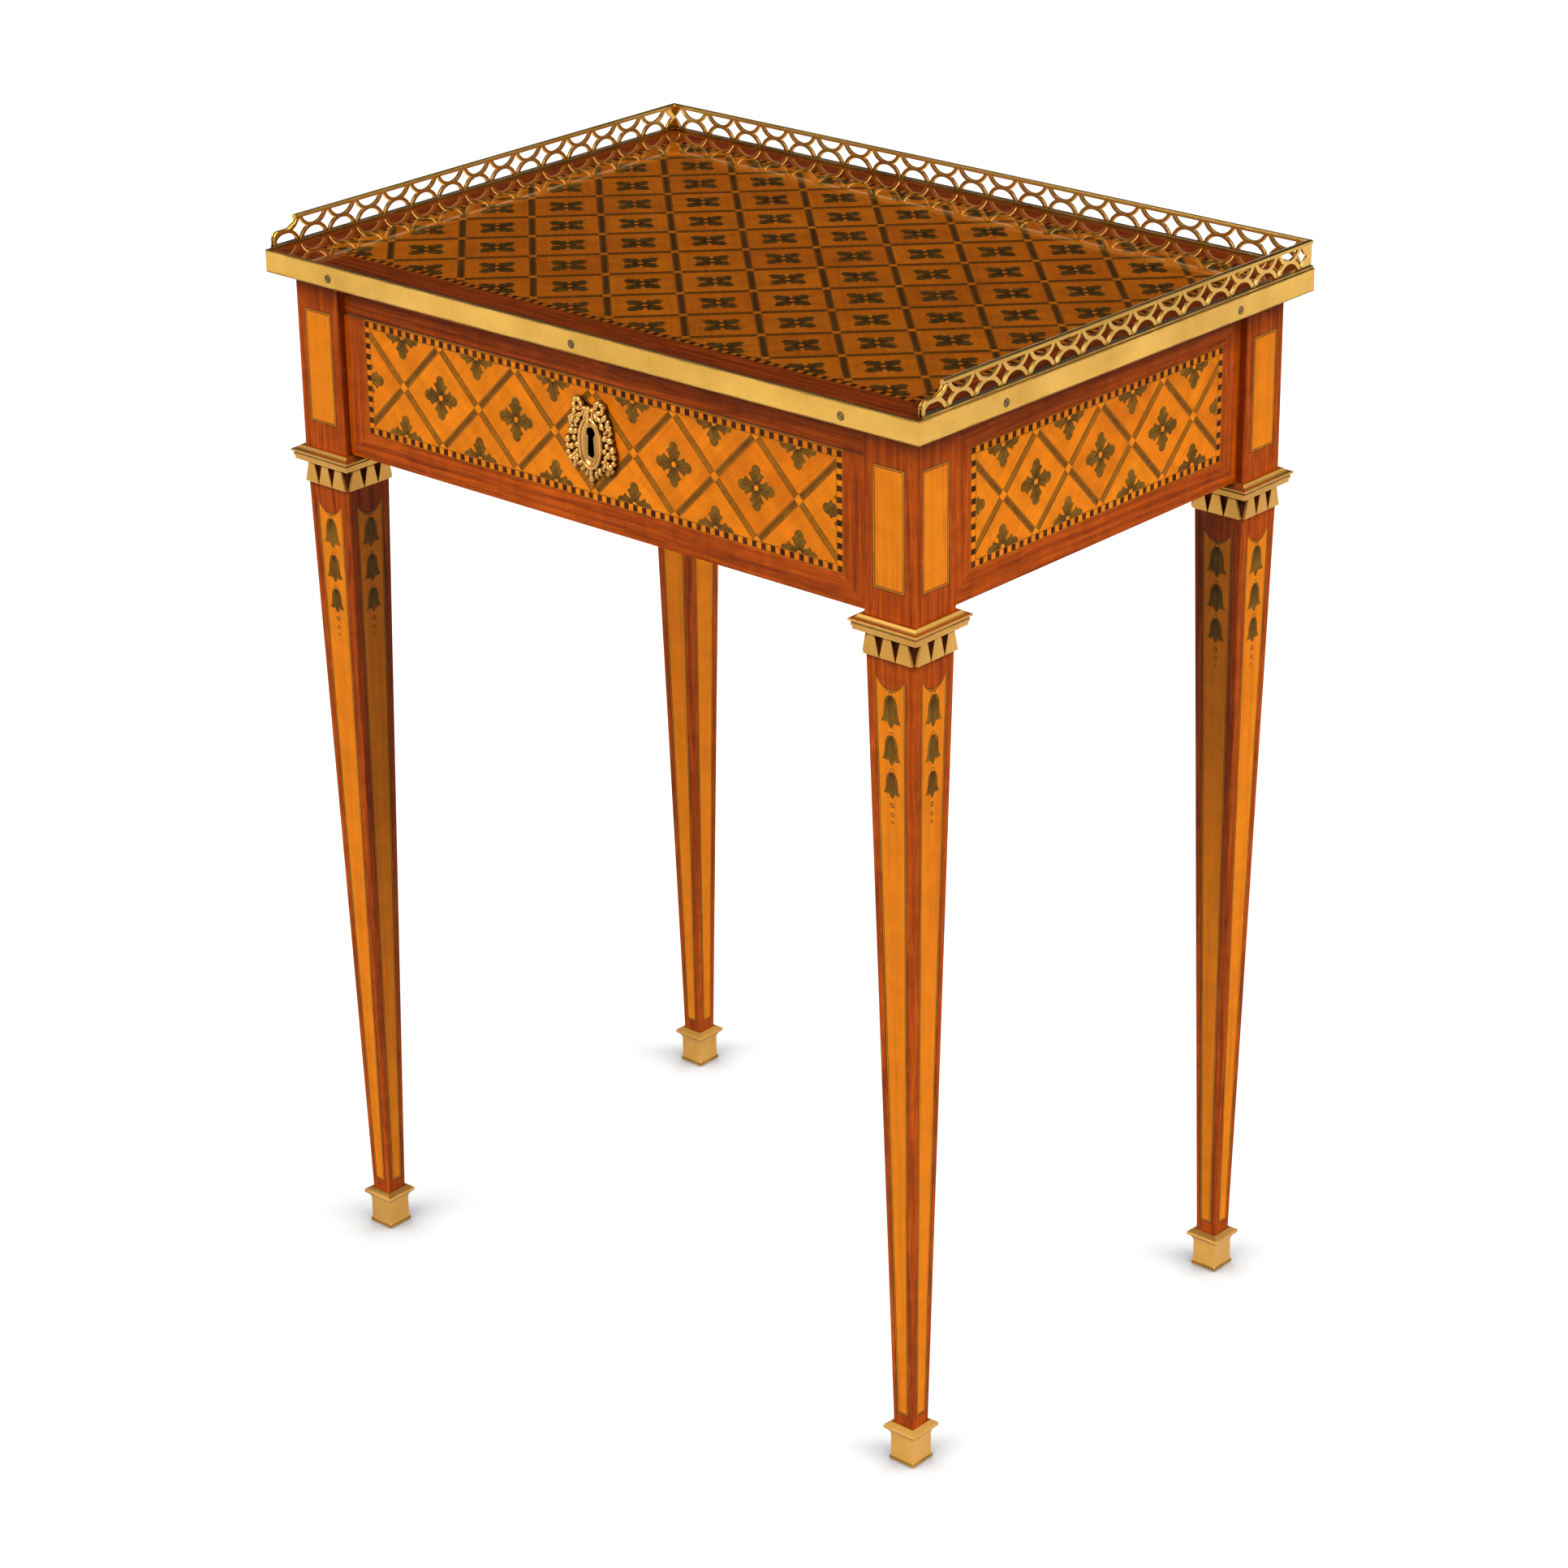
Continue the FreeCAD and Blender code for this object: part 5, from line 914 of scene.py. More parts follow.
def on_taper(mesh, proud):
    """Sets a flat motif (u across, v height) on the front face of a leg's taper, about its axis."""
    for vert in mesh.vertices:
        u, v, z = vert.co
        half = TAPER_HALF - (TAPER_TOP - v) * TAPER_SLOPE
        vert.co = (u, -(half + z), v)
    mesh.update()
    return mesh


def leg_layer(outlines, wood, proud):
    motif = on_taper(thickened(flat_mesh("drop", outlines), proud), proud)
    settings = {"Spacing X": 2 * LEG_X, "Spacing Y": 2 * LEG_Y, "Faces": 4}
    return laid_out(motif, ON_LEGS, WOODS["leg"][wood], **settings)


drops = [leg_layer([bell_outline(*b) for b in BELLS] + [ring_outline(r, 10, (0, z)) for z, r in BEADS],
                   "leaf", 0.04),
         leg_layer([line for b in BELLS for line in bell_lines(*b)]
                   + [ring_outline(1.55, 10, (0, b[0] + 0.4)) for b in BELLS], "ebony", 0.055),
         leg_layer([ring_outline(1.1, 10, (0, b[0] + 0.4)) for b in BELLS]
                   + [ring_outline(r * 0.45, 8, (0, z)) for z, r in BEADS], "dot", 0.07)]
piece("leg_bellflowers", drops, "table")

# %% [markdown]
# Stringing: a pale and a dark line run round every panel of the legs. The taper panels end in a
# hollow arc below the collar. The line follows the panel's outline and is offset inwards.

# %% stringing on the legs
PANEL_TOP, PANEL_FOOT = 547.9, 36.0
PANEL_TOP_HALF, PANEL_FOOT_HALF, ARC_DIP = 11.6, 4.2, 8.0


def taper_outline(inset):
    """The panel's outline drawn in by an inset: up the right side, along the arc, down the left."""
    def half(z):
        share = (z - PANEL_FOOT) / (PANEL_TOP - PANEL_FOOT)
        return PANEL_FOOT_HALF + (PANEL_TOP_HALF - PANEL_FOOT_HALF) * share - inset
    foot = PANEL_FOOT + inset
    top = PANEL_TOP - inset * 1.2
    points = [(half(foot), foot), (half(PANEL_TOP * 0.5), PANEL_TOP * 0.5), (half(top), top)]
    steps = 12
    for step in range(1, steps):
        u = half(top) * (1 - 2 * step / steps)
        dip = ARC_DIP * (1 - (u / half(top)) ** 2) ** 0.8
        points.append((u, top - dip))
    points += [(-half(top), top), (-half(PANEL_TOP * 0.5), PANEL_TOP * 0.5), (-half(foot), foot)]
    return points


def band_between(outer, inner):
    """Quads between two outlines with the same number of points."""
    count = len(outer)
    return [[outer[k], outer[(k + 1) % count], inner[(k + 1) % count], inner[k]] for k in range(count)]


strings = [
    leg_layer(band_between(taper_outline(-0.45), taper_outline(0.0)), "ebony", 0.03),
    leg_layer(band_between(taper_outline(0.0), taper_outline(0.75)), "pale line", 0.035),
    leg_layer(band_between(taper_outline(0.75), taper_outline(1.1)), "ebony", 0.045),
]
piece("leg_stringing", strings, "table")


def block_frames(width, offset, proud, wood):
    """Stringing round the block panels: two outer faces of each leg."""
    made = []
    for sx in (-1, 1):
        for sy in (-1, 1):
            half_u, half_v = 12.0 + offset, 38.2 + offset
            frame_y = thickened(flat_mesh("string", ring_frame(half_u, half_v, width)), proud)
            face_y = sy * (LEG_Y + 0.0195)
            onto([frame_y], (sx * LEG_X, face_y, 0.6412), (-sy, 0, 0), Z)
            frame_x = thickened(flat_mesh("string", ring_frame(half_u, half_v, width)), proud)
            onto([frame_x], (sx * (LEG_X + 0.0195), sy * LEG_Y, 0.6412), (0, sx, 0), Z)
            made += [painted(frame_y, WOODS["leg"][wood]), painted(frame_x, WOODS["leg"][wood])]
    return made


piece("block_stringing", block_frames(1.0, 0.0, 0.03, "pale line") + block_frames(0.45, 0.45, 0.04, "ebony")
      + block_frames(0.4, -1.0, 0.045, "ebony"), "table")

# %% [markdown]
# Brass parts with sharp drawing-board edges look false. A copy of each mount gets a small bevel, so
# that its arrises catch the light, and stands for the frame's node.

# %% softened mounts


def softened(node_name, width, segments=2, finish=mount_brass, body="table"):
    """A copy of a node with its doubles merged and its edges rounded, standing for the node."""
    work = bmesh.new()
    work.from_mesh(nodes[node_name].data)
    bmesh.ops.remove_doubles(work, verts=work.verts[:], dist=2e-6)
    bmesh.ops.dissolve_limit(work, angle_limit=math.radians(1.0), verts=work.verts[:], edges=work.edges[:])
    mesh = bpy.data.meshes.new(node_name + "_worn")
    work.to_mesh(mesh)
    work.free()
    painted(mesh, finish)
    thing = bpy.data.objects.new(node_name + "_worn", mesh)
    bpy.context.scene.collection.objects.link(thing)
    bevel = thing.modifiers.new("worn edges", "BEVEL")
    bevel.width = width * MM
    bevel.segments = segments
    bevel.limit_method = "ANGLE"
    bevel.angle_limit = math.radians(28)
    bevel.harden_normals = True
    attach(thing, body)
    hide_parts(node_name)
    return thing


for name in [n for n in nodes if n.startswith(("edge_band_", "collar_", "sabot_")) and "screws" not in n]:
    edge = name.startswith("edge")
    softened(name, 0.45 if edge else 0.3, finish=mount_brass if edge else foot_brass)

# %% [markdown]
# The gallery is sawn out of thin brass plate. A filled flat curve with its openings as inner rings is
# the right tool: it cuts the openings, gives the thickness and rounds every edge in one go. The rim and
# the base rail are mouldings with mitred ends, and the front ends carry a broad band along their ogee.

# %% the pierced gallery
BASE, RAIL_TOP, PLATE_TOP, RIM_TOP = 717.3, 719.0, 733.1, 736.0
BOWL_R, BOWL_V, ARCH_R, ARCH_V, STRAP = 10.689, 738.189, 10.363, 714.637, 2.8
OPENING_HALF, END_U, HIDDEN = 9.4, 11.0, 0.45
RUN, SIDE_X0, BACK_Y0, FRONT_Y0 = 383.4, 272.0, 192.5, -190.9


def arc(u, v, radius, start, end, steps):
    """Points of an arc between two angles in degrees."""
    turns = [math.radians(start + (end - start) * k / steps) for k in range(steps + 1)]
    return [(u + radius * math.cos(t), v + radius * math.sin(t)) for t in turns]


def bowl(u):
    """The opening under the rim; its flat side is hidden in the rim."""
    half = math.degrees(math.asin(OPENING_HALF / BOWL_R))
    edge = PLATE_TOP + HIDDEN
    return arc(u, BOWL_V, BOWL_R, -90 - half, -90 + half, 14) + [(u + OPENING_HALF, edge), (u - OPENING_HALF, edge)]


def low_arch(u, cut=None):
    """The opening over the rail, cut off upright on its left where a place for it is given."""
    half = math.degrees(math.asin(OPENING_HALF / ARCH_R))
    points = arc(u, ARCH_V, ARCH_R, 90 - half, 90 + half, 14)
    if cut is not None:
        points = [q for q in points if q[0] > cut] + [(cut, ARCH_V + math.sqrt(ARCH_R ** 2 - (u - cut) ** 2))]
    return points + [(points[-1][0], RAIL_TOP - HIDDEN), (u + OPENING_HALF, RAIL_TOP - HIDDEN)]


def diamond(u, pitch):
    """The opening with four hollow sides between the straps of two bowls and two arches."""
    half, apart = pitch / 2, BOWL_V - ARCH_V
    upper, lower = BOWL_R + STRAP, ARCH_R + STRAP
    up = (apart ** 2 + lower ** 2 - upper ** 2) / (2 * apart)
    out = math.sqrt(lower ** 2 - up ** 2)
    foot, head = math.degrees(math.acos(half / lower)), math.degrees(math.acos(half / upper))
    left = arc(-half, ARCH_V, lower, foot, math.degrees(math.atan2(up, out)), 8)
    left += arc(-half, BOWL_V, upper, math.degrees(math.atan2(up - apart, out)), -head, 8)[1:]
    return [(u + a, b) for a, b in left + [(-a, b) for a, b in left[1:-1]][::-1]]


def end_edge():
    """The outer edge of a front end: upright, a round corner, a shoulder and the ogee to the rim."""
    half = math.degrees(math.asin(OPENING_HALF / BOWL_R))
    edge = [(0.0, RAIL_TOP - HIDDEN)] + arc(4.5, 723.0, 4.5, 180, 90, 7)
    return edge + arc(END_U, BOWL_V, BOWL_R, -90, -90 + half, 12)


def beside(path, width):
    """A band of this width on the right-hand side of a path."""
    inner = []
    for k, (u, v) in enumerate(path):
        (a, b), (c, d) = path[max(k - 1, 0)], path[min(k + 1, len(path) - 1)]
        size = math.hypot(c - a, d - b)
        inner.append((u + (d - b) / size * width, v - (c - a) / size * width))
    return path + inner[::-1]


def sawn(outlines, width, edge):
    """A plate from an outline and its openings, its thickness centred, its edges rounded."""
    curve = bpy.data.curves.new("sawn", "CURVE")
    curve.dimensions, curve.fill_mode = "2D", "BOTH"
    curve.extrude, curve.bevel_depth, curve.bevel_resolution = (width / 2 - edge) * MM, edge * MM, 1
    curve.offset = -edge * MM
    for outline in outlines:
        spline = curve.splines.new("POLY")
        spline.points.add(len(outline) - 1)
        for point, (u, v) in zip(spline.points, outline):
            point.co = (u * MM, v * MM, 0.0, 1.0)
        spline.use_cyclic_u = True
    carrier = bpy.data.objects.new("sawn", curve)
    bpy.context.scene.collection.objects.link(carrier)
    bpy.context.view_layer.update()
    graph = bpy.context.evaluated_depsgraph_get()
    mesh = bpy.data.meshes.new_from_object(carrier.evaluated_get(graph), depsgraph=graph)
    bpy.data.objects.remove(carrier)
    work = bmesh.new()
    work.from_mesh(mesh)
    bmesh.ops.remove_doubles(work, verts=work.verts[:], dist=2e-6)
    bmesh.ops.recalc_face_normals(work, faces=work.faces[:])
    loose = sum(1 for e in work.edges if len(e.link_faces) != 2)
    print("sawn plate, open edges", loose)
    work.to_mesh(mesh)
    work.free()
    return mesh


def moulding(profile, start, end, start_slope=0, end_slope=0):
    """A bar along u from (across, height) points; a slope of 1 or -1 mitres that end."""
    work = bmesh.new()
    rings = [[work.verts.new(((place + slope * w) * MM, v * MM, w * MM)) for w, v in profile]
             for place, slope in ((start, start_slope), (end, end_slope))]
    count = len(profile)
    for k in range(count):
        after = (k + 1) % count
        work.faces.new((rings[0][k], rings[0][after], rings[1][after], rings[1][k]))
    work.faces.new(rings[0][::-1])
    work.faces.new(rings[1])
    bmesh.ops.recalc_face_normals(work, faces=work.faces[:])
    mesh = bpy.data.meshes.new("moulding")
    work.to_mesh(mesh)
    work.free()
    return mesh


RIM_HALF = [(1.55, 733.1), (1.7, 733.25), (1.7, 733.85), (1.5, 734.0), (1.5, 734.15), (1.7, 734.3),
            (1.66, 735.0), (1.4, 735.5), (0.85, 735.86), (0.0, 736.0)]
RAIL_HALF = [(2.1, 717.3), (2.1, 718.65), (1.8, 719.0)]


def both_sides(half):
    return half + [(-w, v) for w, v in half[::-1] if w > 0]


def gallery_side(slope):
    """One side gallery along u from its front end; the slope turns its back mitre."""
    pitch = (RUN - END_U - 10.0) / 14.5
    edge = end_edge()
    plate = [edge + [(21.0, PLATE_TOP + 1.4), (RUN + 0.85, PLATE_TOP + 1.4), (RUN + 0.85, RAIL_TOP - 0.8),
                     (0.0, RAIL_TOP - 0.8)]]
    plate += [bowl(END_U + pitch * k) for k in range(1, 15)]
    plate += [low_arch(END_U + pitch * k) for k in range(1, 15)] + [low_arch(END_U, 3.4)]
    plate += [diamond(END_U + pitch * (k + 0.5), pitch) for k in range(15)]
    return [sawn(plate, 1.9, 0.32), sawn([beside(edge + [(21.2, 734.7)], 2.6)], 3.4, 0.3),
            moulding(both_sides(RIM_HALF), 19.6, RUN, 0, slope),
            moulding(both_sides(RAIL_HALF), 0.0, RUN, 0, slope)]


def gallery_across():
    """The back gallery, mitred at both ends."""
    pitch = 2 * (SIDE_X0 - 6.3) / 21
    reach = SIDE_X0 + 0.85
    plate = [[(-reach, RAIL_TOP - 0.8), (reach, RAIL_TOP - 0.8), (reach, PLATE_TOP + 1.4), (-reach, PLATE_TOP + 1.4)]]
    for k in range(21):
        plate += [bowl(pitch * (k - 10)), low_arch(pitch * (k - 10))]
    plate += [diamond(pitch * (k - 10.5), pitch) for k in range(22)]
    return [sawn(plate, 1.9, 0.32), moulding(both_sides(RIM_HALF), -SIDE_X0, SIDE_X0, 1, -1),
            moulding(both_sides(RAIL_HALF), -SIDE_X0, SIDE_X0, 1, -1)]


def brass_piece(name, meshes, replaced):
    whole = piece(name, [painted(m, gallery_brass) for m in meshes], "table")
    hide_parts(replaced)
    return whole


for side, sign in (("left", -1), ("right", 1)):
    meshes = onto(gallery_side(sign), (sign * SIDE_X0 * MM, FRONT_Y0 * MM, 0), Y, Z)
    brass_piece(f"gallery_{side}_sawn", meshes, f"gallery_{side}")
brass_piece("gallery_back_sawn", onto(gallery_across(), (0, BACK_Y0 * MM, 0), X, Z), "gallery_back")

# %% [markdown]
# The key plate is cast and chased: an oval shield, a ribbon bow, and swags of berries and leaves that
# hang down both sides. Each berry, leaf and ribbon is a closed form of its own that sinks into the
# plate behind, as a modeller builds the wax. Places are (across, up) from the middle of the shield.

# %% the key plate
KEY_V, KEY_R, KEY_FOOT_HALF, KEY_FOOT = 6.8, 3.5, 2.75, -9.4
LOBES = [(0.0, 24.0), (3.6, 26.0), (8.2, 29.0), (12.8, 27.0), (13.6, 22.8), (12.6, 20.0), (15.4, 18.0),
         (17.0, 13.6), (17.8, 8.0), (19.2, 2.5), (20.4, -3.0), (20.4, -9.0), (18.6, -13.0), (15.4, -17.2),
         (12.6, -16.4), (11.4, -14.0), (8.8, -18.4), (4.6, -21.8), (1.6, -26.0)]


def key_outline(grow=0.0):
    """The keyhole: a round head over a slot that widens to a rounded foot."""
    head = arc(0.0, KEY_V, KEY_R + grow, -50.0, 230.0, 26)
    foot = KEY_FOOT + KEY_FOOT_HALF
    return head + arc(0.0, foot, KEY_FOOT_HALF + grow, 180.0, 360.0, 12)


def oval_ring(inset, count=48):
    return [((10.4 - inset) * math.cos(2 * math.pi * k / count), (17.4 - inset) * math.sin(2 * math.pi * k / count))
            for k in range(count)]


def lidded(work, outer, inner, facing):
    """Fills the face between an outer and an inner ring of vertices."""
    rings = [[v.co.xyz for v in outer], [v.co.xyz for v in inner]]
    verts = outer + inner
    for triangle in tessellate_polygon(rings):
        face = work.faces.new([verts[k] for k in triangle])
        if face.normal.z * facing < 0:
            face.normal_flip()


def shield_mesh():
    """Ovals joined by quads from the foot of the rim to the dish, with the keyhole cut through."""
    profile = [(0.0, 0.1), (0.05, 3.0), (0.4, 4.2), (1.1, 4.75), (1.8, 4.6), (2.3, 3.9), (2.5, 3.2), (2.8, 3.2),
               (3.1, 3.9), (3.7, 4.05), (4.3, 3.6), (5.0, 3.1), (5.8, 2.8)]
    work = bmesh.new()
    rings = [[work.verts.new((u * MM, v * MM, w * MM)) for u, v in oval_ring(inset)] for inset, w in profile]
    count = len(rings[0])
    for place, (low, high) in enumerate(zip(rings, rings[1:])):
        for k in range(count):
            after = (k + 1) % count
            face = work.faces.new((low[k], low[after], high[after], high[k]))
            # the rim's groove takes material 1, the dark bronze: patina and painted shade
            face.material_index = 1 if place in (6, 7) else 0
    walls = [[work.verts.new((u * MM, v * MM, w * MM)) for u, v in key_outline(grow)]
             for w, grow in ((2.75, 0.2), (2.6, 0.0), (0.1, 0.0))]
    for low, high in zip(walls, walls[1:]):
        for k in range(len(low)):
            after = (k + 1) % len(low)
            face = work.faces.new((low[k], low[after], high[after], high[k]))
            # the keyhole's walls take material 2, a near black painted shade
            face.material_index = 2
    lidded(work, rings[-1], walls[0], 1)
    lidded(work, rings[0], walls[-1], -1)
    bmesh.ops.recalc_face_normals(work, faces=work.faces[:])
    mesh = bpy.data.meshes.new("shield")
    work.to_mesh(mesh)
    work.free()
    return mesh


def blob(u, v, w, along, across, rise, turn=0.0, lean=0.0, uneven=0.0):
    """A rounded form: its place, half sizes along, across and outwards, its turn and lean in degrees."""
    work = bmesh.new()
    bmesh.ops.create_icosphere(work, subdivisions=2, radius=1.0)
    for vert in work.verts:
        vert.co *= 1.0 + uneven * gradient(vert.co * 1.7 + Vector((u, v, w)))
    place = (Matrix.Translation(Vector((u, v, w)) * MM) @ Matrix.Rotation(math.radians(turn), 4, "Z")
             @ Matrix.Rotation(math.radians(lean), 4, "Y") @ Matrix.Diagonal((along * MM, across * MM, rise * MM, 1.0)))
    bmesh.ops.transform(work, matrix=place, verts=work.verts[:])
    mesh = bpy.data.meshes.new("blob")
    work.to_mesh(mesh)
    work.free()
    return mesh


# Right side of the ornament. Berries: across, up, radius. Leaves: across, up, half length, half width, turn.
BERRIES = [(16.6, 4.9, 2.9), (12.4, 5.6, 2.5), (19.0, -0.6, 2.7), (14.0, 0.8, 2.5), (11.7, -3.0, 2.2),
           (15.6, -4.8, 2.7), (19.4, -5.4, 2.5), (19.2, -9.4, 2.2), (16.8, -12.2, 2.4), (12.2, -7.4, 2.0)]
LEAVES = [(14.4, 15.8, 3.4, 2.4, 110), (10.2, 13.4, 3.3, 1.9, 125), (12.6, 19.0, 2.7, 1.9, 60),
          (8.6, 17.4, 3.4, 1.5, 145), (5.8, 18.6, 3.8, 1.4, 128), (2.8, 18.8, 4.0, 1.3, 105),
          (14.4, -15.6, 3.4, 1.9, 80), (17.8, -15.0, 2.2, 1.5, 60), (6.8, -17.0, 3.6, 2.2, 140),
          (9.8, -14.8, 2.9, 1.8, 160), (3.8, -19.4, 3.4, 1.8, 115), (12.8, 9.6, 2.6, 1.6, 40),
          (16.9, 10.2, 2.6, 1.7, 95), (4.6, -15.8, 2.4, 1.6, 130), (15.8, 8.0, 2.0, 1.4, 20)]
FOLDS = [(6.0, 24.6, 2.9, 1.9, 60), (8.2, 27.6, 3.1, 2.0, 20), (11.4, 26.4, 3.0, 2.0, -50),
         (11.8, 23.2, 2.7, 1.8, 80), (8.9, 21.6, 3.0, 1.7, 10), (3.4, 22.6, 2.6, 1.4, 160)]
MIDDLE = [(0.0, 22.4, 2.4, 2.6, 90, 4.4), (0.0, 18.2, 3.8, 1.3, 90, 4.2), (0.0, -19.2, 3.4, 1.7, 90, 2.6),
          (0.0, -23.0, 2.7, 2.4, 90, 2.4), (0.0, -26.0, 1.8, 1.5, 90, 1.6), (0.0, 14.2, 1.7, 1.4, 90, 4.4)]
ROSETTES = [(12.9, -10.8, 3.3), (16.0, 13.2, 2.6)]


def ornament():
    """All of the cast forms on both sides of the middle."""
    made = []
    for side in (-1, 1):
        for k, (u, v, r) in enumerate(BERRIES):
            made.append(blob(side * u, v, 1.3 + 0.4 * (k % 3) + r * 0.35, r, r * 0.86, r * 0.85, 50 * k, 10, 0.3))
        for u, v, along, across, turn in LEAVES:
            high = 3.2 if v > 16 or (u < 10.5 and v > 0) else 1.9
            made.append(blob(side * u, v, high, along, across, 1.6, turn if side > 0 else 180 - turn, 16, 0.4))
        for k, (u, v, along, across, turn) in enumerate(FOLDS):
            made.append(blob(side * u, v, 3.4 + 0.5 * (k % 2), along, across, 2.0,
                             turn if side > 0 else 180 - turn, 22, 0.4))
        for u, v, r in ROSETTES:
            for petal in range(5):
                angle = math.radians(72 * petal + 20)
                made.append(blob(side * (u + 0.62 * r * math.cos(angle)), v + 0.62 * r * math.sin(angle), 3.0,
                                 0.52 * r, 0.42 * r, 1.1, math.degrees(angle), -22))
            made.append(blob(side * u, v, 3.0, 0.25 * r, 0.25 * r, 0.8))
    for u, v, along, across, turn, w in MIDDLE:
        made.append(blob(u, v, w, along, across, 1.8, turn, 0, 0.3))
    return made


plate = sawn([LOBES + [(-u, v) for u, v in LOBES[::-1] if u > 0], oval_ring(2.5, 36)], 1.3, 0.25)
plate.transform(Matrix.Translation((0, 0, 0.72 * MM)))
forms = [painted(m, gilt_bronze) for m in ornament()]
for form in forms:
    for face in form.polygons:
        face.use_smooth = True
shield = painted(shield_mesh(), gilt_bronze)
shield.materials.append(patina_and_shade)
shield.materials.append(painted_shade)
# the plate behind the forms is dark so that the gaps between them read as deep shade: patina and painted shade
cast = [painted(plate, patina_and_shade), shield] + forms
key_plate = piece("key_plate_chased", onto(cast, (0, DRAWER_Y, 0.6412), X, Z), "drawer", None)
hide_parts("escutcheon")

# %% [markdown]
# Screws and pins. A slotted head is two raised halves on a sunk disc; the layout tree sets the heads in
# rows and turns each slot its own way, for no joiner leaves ten slots alike.

# %% screws and pins


def prism(outline, low, high):
    """A closed straight form on an outline, between two heights (millimetres)."""
    return thickened(flat_mesh("prism", [outline]), high, high - low)


def half_disc(radius, gap, side, count=12):
    """Half of a round head, beside its slot."""
    reach = math.degrees(math.asin(gap / radius))
    return arc(0.0, 0.0, radius, reach, 180 - reach, count) if side > 0 else arc(
        0.0, 0.0, radius, 180 + reach, 360 - reach, count)


def merged(meshes):
    work = bmesh.new()
    for mesh in meshes:
        work.from_mesh(mesh)
    mesh = bpy.data.meshes.new("merged")
    work.to_mesh(mesh)
    work.free()
    return mesh


seat = merged([prism(ring_outline(2.8, 24), -2.2, 0.01), prism(ring_outline(1.2, 8), -13.0, -2.1)])
head = merged([prism(half_disc(2.25, 0.45, 1), -0.6, 0.06), prism(half_disc(2.25, 0.45, -1), -0.6, 0.06)])
SCREW_Z = 708.5
rows = []
for seed, (origin, u_axis, pitch, columns) in enumerate((
        ((0, -195.5), X, 216.0, 3), ((275.0, 0), Y, 232.0, 2), ((0, 195.5), (-1, 0, 0), 216.0, 3),
        ((-275.0, 0), (0, -1, 0), 232.0, 2))):
    setting = {"Pitch U": pitch * MM, "Pitch V": 0.1, "Columns": columns, "Rows": 1, "Interleaved": False,
               "Turn": math.pi, "Seed": seed + 3}
    row = [laid_out(seat, LATTICE, patina_and_shade, **setting), laid_out(head, LATTICE, screw_brass, **setting)]
    rows += onto(row, (origin[0] * MM, origin[1] * MM, SCREW_Z * MM), u_axis, Z)
band_screws = piece("edge_band_screws_slotted", rows, "table")
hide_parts("edge_band_screws")

pin = blob(0.0, 0.0, 0.0, 1.1, 1.1, 0.6)
pins = []
for sign in (-1, 1):
    one = pin.copy()
    pins += onto([painted(one, mount_brass)], (sign * 0.2415, 0.1635 - 0.0092, 0.0148), X, Z)
piece("sabot_pins", pins, "table")
tacks = [blob(u, v, 1.45, 0.75, 0.75, 0.5) for u in (-15.2, 15.2) for v in (16.9, -13.6)]
piece("escutcheon_pins", onto([painted(t, gilt_bronze) for t in tacks], (0, DRAWER_Y, 0.6412), X, Z), "drawer")

# %% [markdown]
# The studio. The floor is white where the camera or a reflection sees it. It takes soft shadows from the
# lamps, and it is darkest close to the feet, where little light can reach it. The world is pale near the horizon and dim above, as in a studio with a dark ceiling, so
# the polished top stays deep in colour while it still mirrors the gallery.

# %% floor and world
floor_mesh = bpy.data.meshes.new("floor")
floor_mesh.from_pydata([(-40, -40, -0.0005), (40, -40, -0.0005), (40, 40, -0.0005), (-40, 40, -0.0005)], [], [(0, 1, 2, 3)])
floor = bpy.data.objects.new("floor", floor_mesh)
bpy.context.scene.collection.objects.link(floor)
paper = bpy.data.materials.new("studio paper")
paper.use_nodes = True
tree = paper.node_tree
tree.nodes.clear()
path = add(tree, "ShaderNodeLightPath")
mirrored = maths(tree, "MAXIMUM", path.outputs["Is Glossy Ray"], path.outputs["Is Transmission Ray"])
# painted shadow: the glow that camera rays see is dimmed by ambient occlusion near the feet
free = feed(tree, add(tree, "ShaderNodeAmbientOcclusion", samples=4), Distance=0.25).outputs["AO"]
direct = maths(tree, "MULTIPLY", path.outputs["Is Camera Ray"],
               maths(tree, "MULTIPLY", maths(tree, "POWER", free, 2.5), 0.80))
glow = feed(tree, add(tree, "ShaderNodeEmission"), Color=(1, 1, 1, 1),
            Strength=maths(tree, "ADD", direct, maths(tree, "MULTIPLY", mirrored, 0.57)))
matt = feed(tree, add(tree, "ShaderNodeBsdfDiffuse"), Color=(0.25, 0.25, 0.25, 1))
both = add(tree, "ShaderNodeAddShader")
tree.links.new(glow.outputs[0], both.inputs[0])
tree.links.new(matt.outputs[0], both.inputs[1])
tree.links.new(both.outputs[0], add(tree, "ShaderNodeOutputMaterial").inputs["Surface"])
floor_mesh.materials.append(paper)

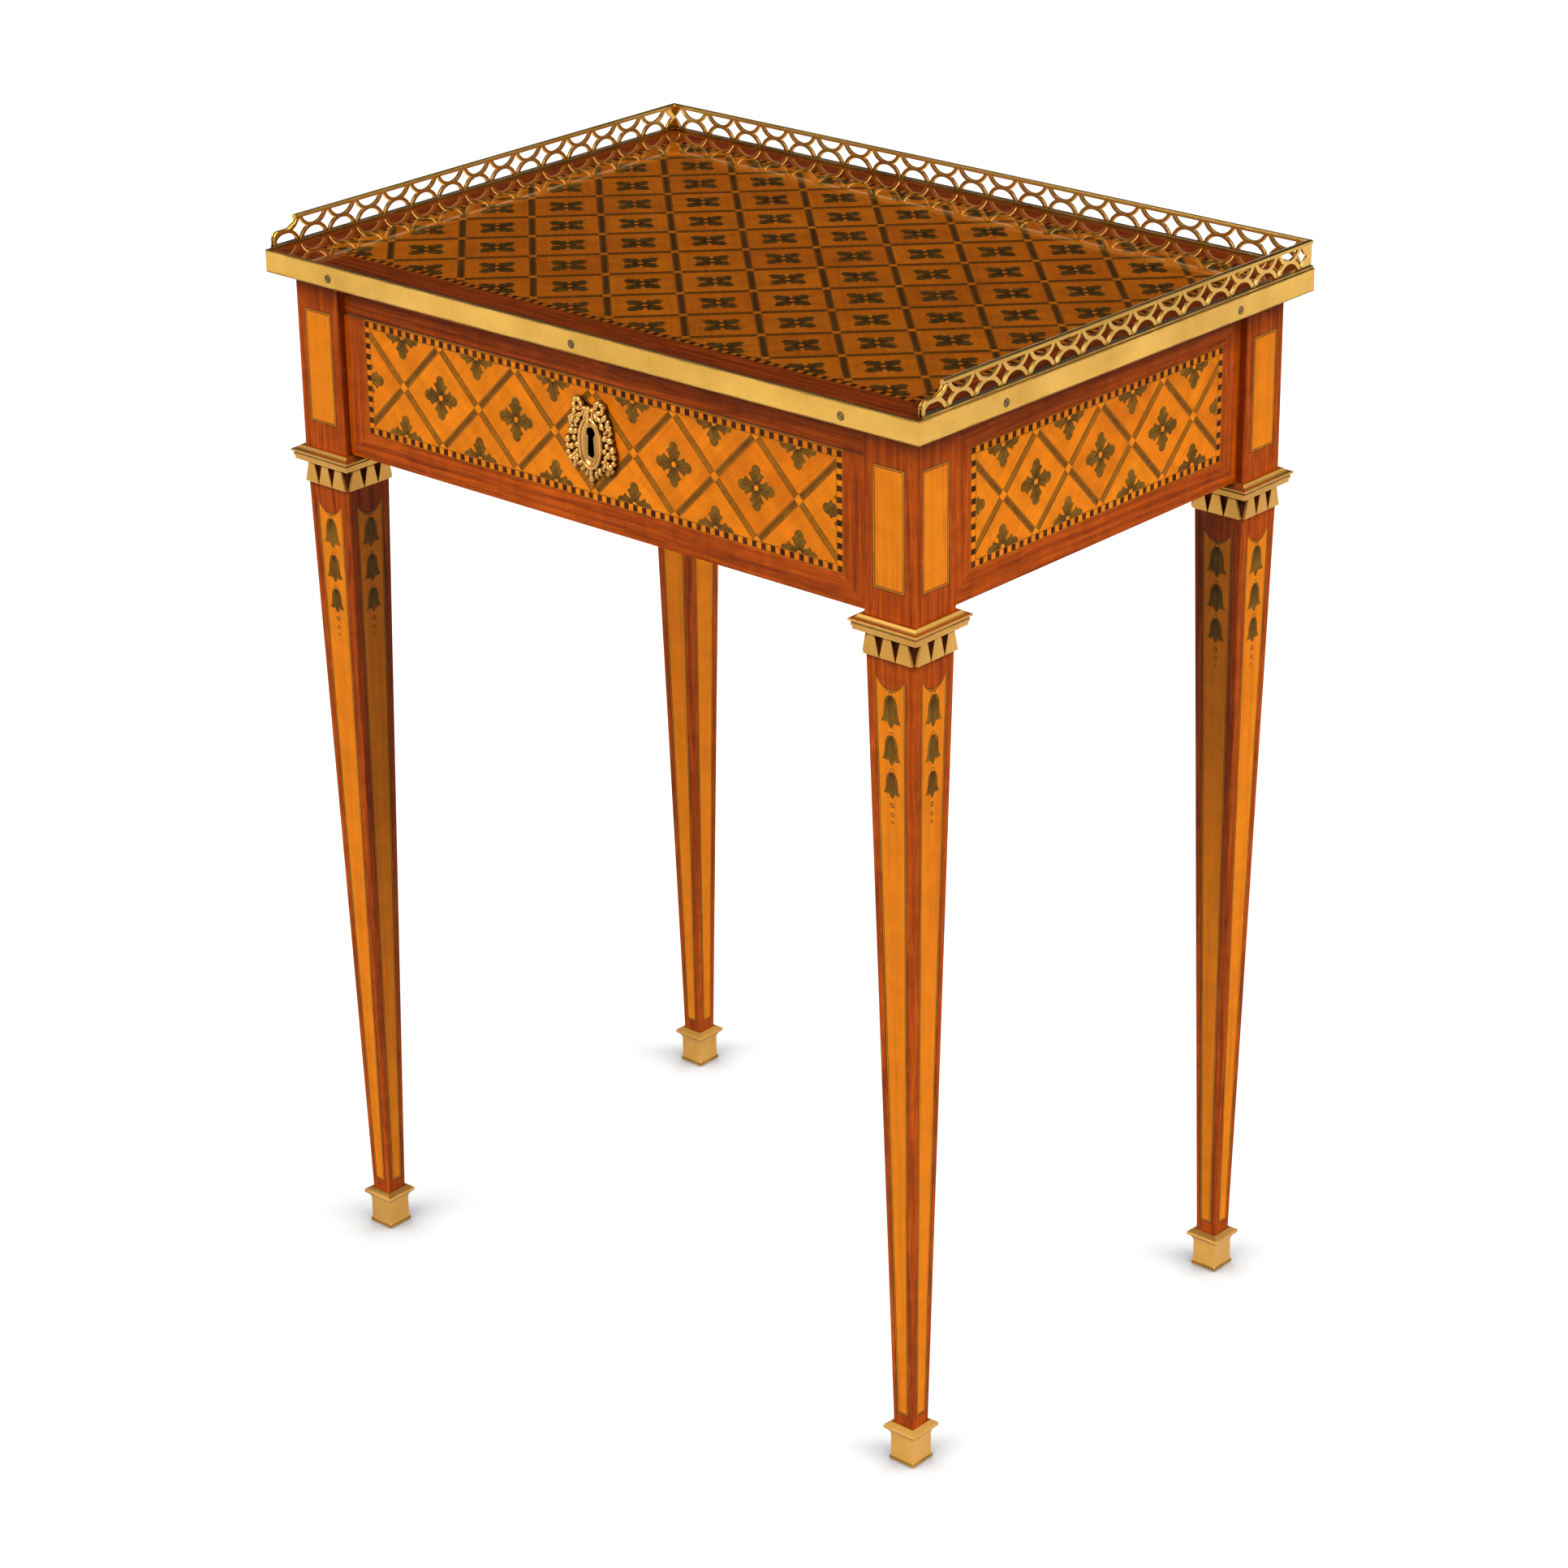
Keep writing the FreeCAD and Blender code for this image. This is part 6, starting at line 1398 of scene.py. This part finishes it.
world = bpy.data.worlds.new("studio")
bpy.context.scene.world = world
world.use_nodes = True
tree = world.node_tree
tree.nodes.clear()
direction = feed(tree, add(tree, "ShaderNodeSeparateXYZ"),
                 Vector=add(tree, "ShaderNodeTexCoord").outputs["Generated"])
level = ramp(tree, direction.outputs["Z"], 0.17, 0.21, 1.0, 0.012)
path = add(tree, "ShaderNodeLightPath")
seen = maths(tree, "MAXIMUM", path.outputs["Is Camera Ray"],
             maths(tree, "MAXIMUM", path.outputs["Is Glossy Ray"], path.outputs["Is Transmission Ray"]))
sky = feed(tree, add(tree, "ShaderNodeBackground"), Color=(1, 1, 1, 1),
           Strength=maths(tree, "MULTIPLY", level, ramp(tree, seen, 0.0, 1.0, 0.2, 1.0)))
tree.links.new(sky.outputs[0], add(tree, "ShaderNodeOutputWorld").inputs["Surface"])

# %% [markdown]
# Two broad suns light the object from the left and the right of the camera, so that each visible side
# has a lamp of its own. A third, straight above, lets the top shade the floor and the legs behind. A sun's light
# doesn't fall off, which keeps the whole floor white.

# %% lamps and camera


def sun(name, towards, strength, spread):
    """A soft sun shining from the given direction towards the object."""
    data = bpy.data.lights.new(name, "SUN")
    data.energy = strength
    data.angle = math.radians(spread)
    thing = bpy.data.objects.new(name, data)
    thing.location = Vector(towards) * 3.0
    thing.rotation_euler = Vector(towards).to_track_quat("Z", "Y").to_euler()
    bpy.context.scene.collection.objects.link(thing)
    return thing


sun("left lamp", (-0.20, -0.96, 1.0), 3.3, 40)
sun("right lamp", (0.94, 0.28, 1.0), 3.6, 40)
sun("upper lamp", (0.10, -0.10, 1.0), 0.9, 90)

camera_data = bpy.data.cameras.new("camera")
camera_data.lens = 97.515
camera_data.sensor_width = 36.0
camera = bpy.data.objects.new("camera", camera_data)
camera.location = (1.7397, -1.9597, 1.4932)
turn = (Matrix.Rotation(math.radians(41.69), 3, "Z") @ Matrix.Rotation(math.radians(66.454), 3, "X")
        @ Matrix.Rotation(math.radians(-0.799), 3, "Z"))
camera.rotation_euler = turn.to_euler()
camera_data.clip_end = 100.0
bpy.context.scene.collection.objects.link(camera)
bpy.context.scene.camera = camera
bpy.context.scene.view_settings.view_transform = "Standard"
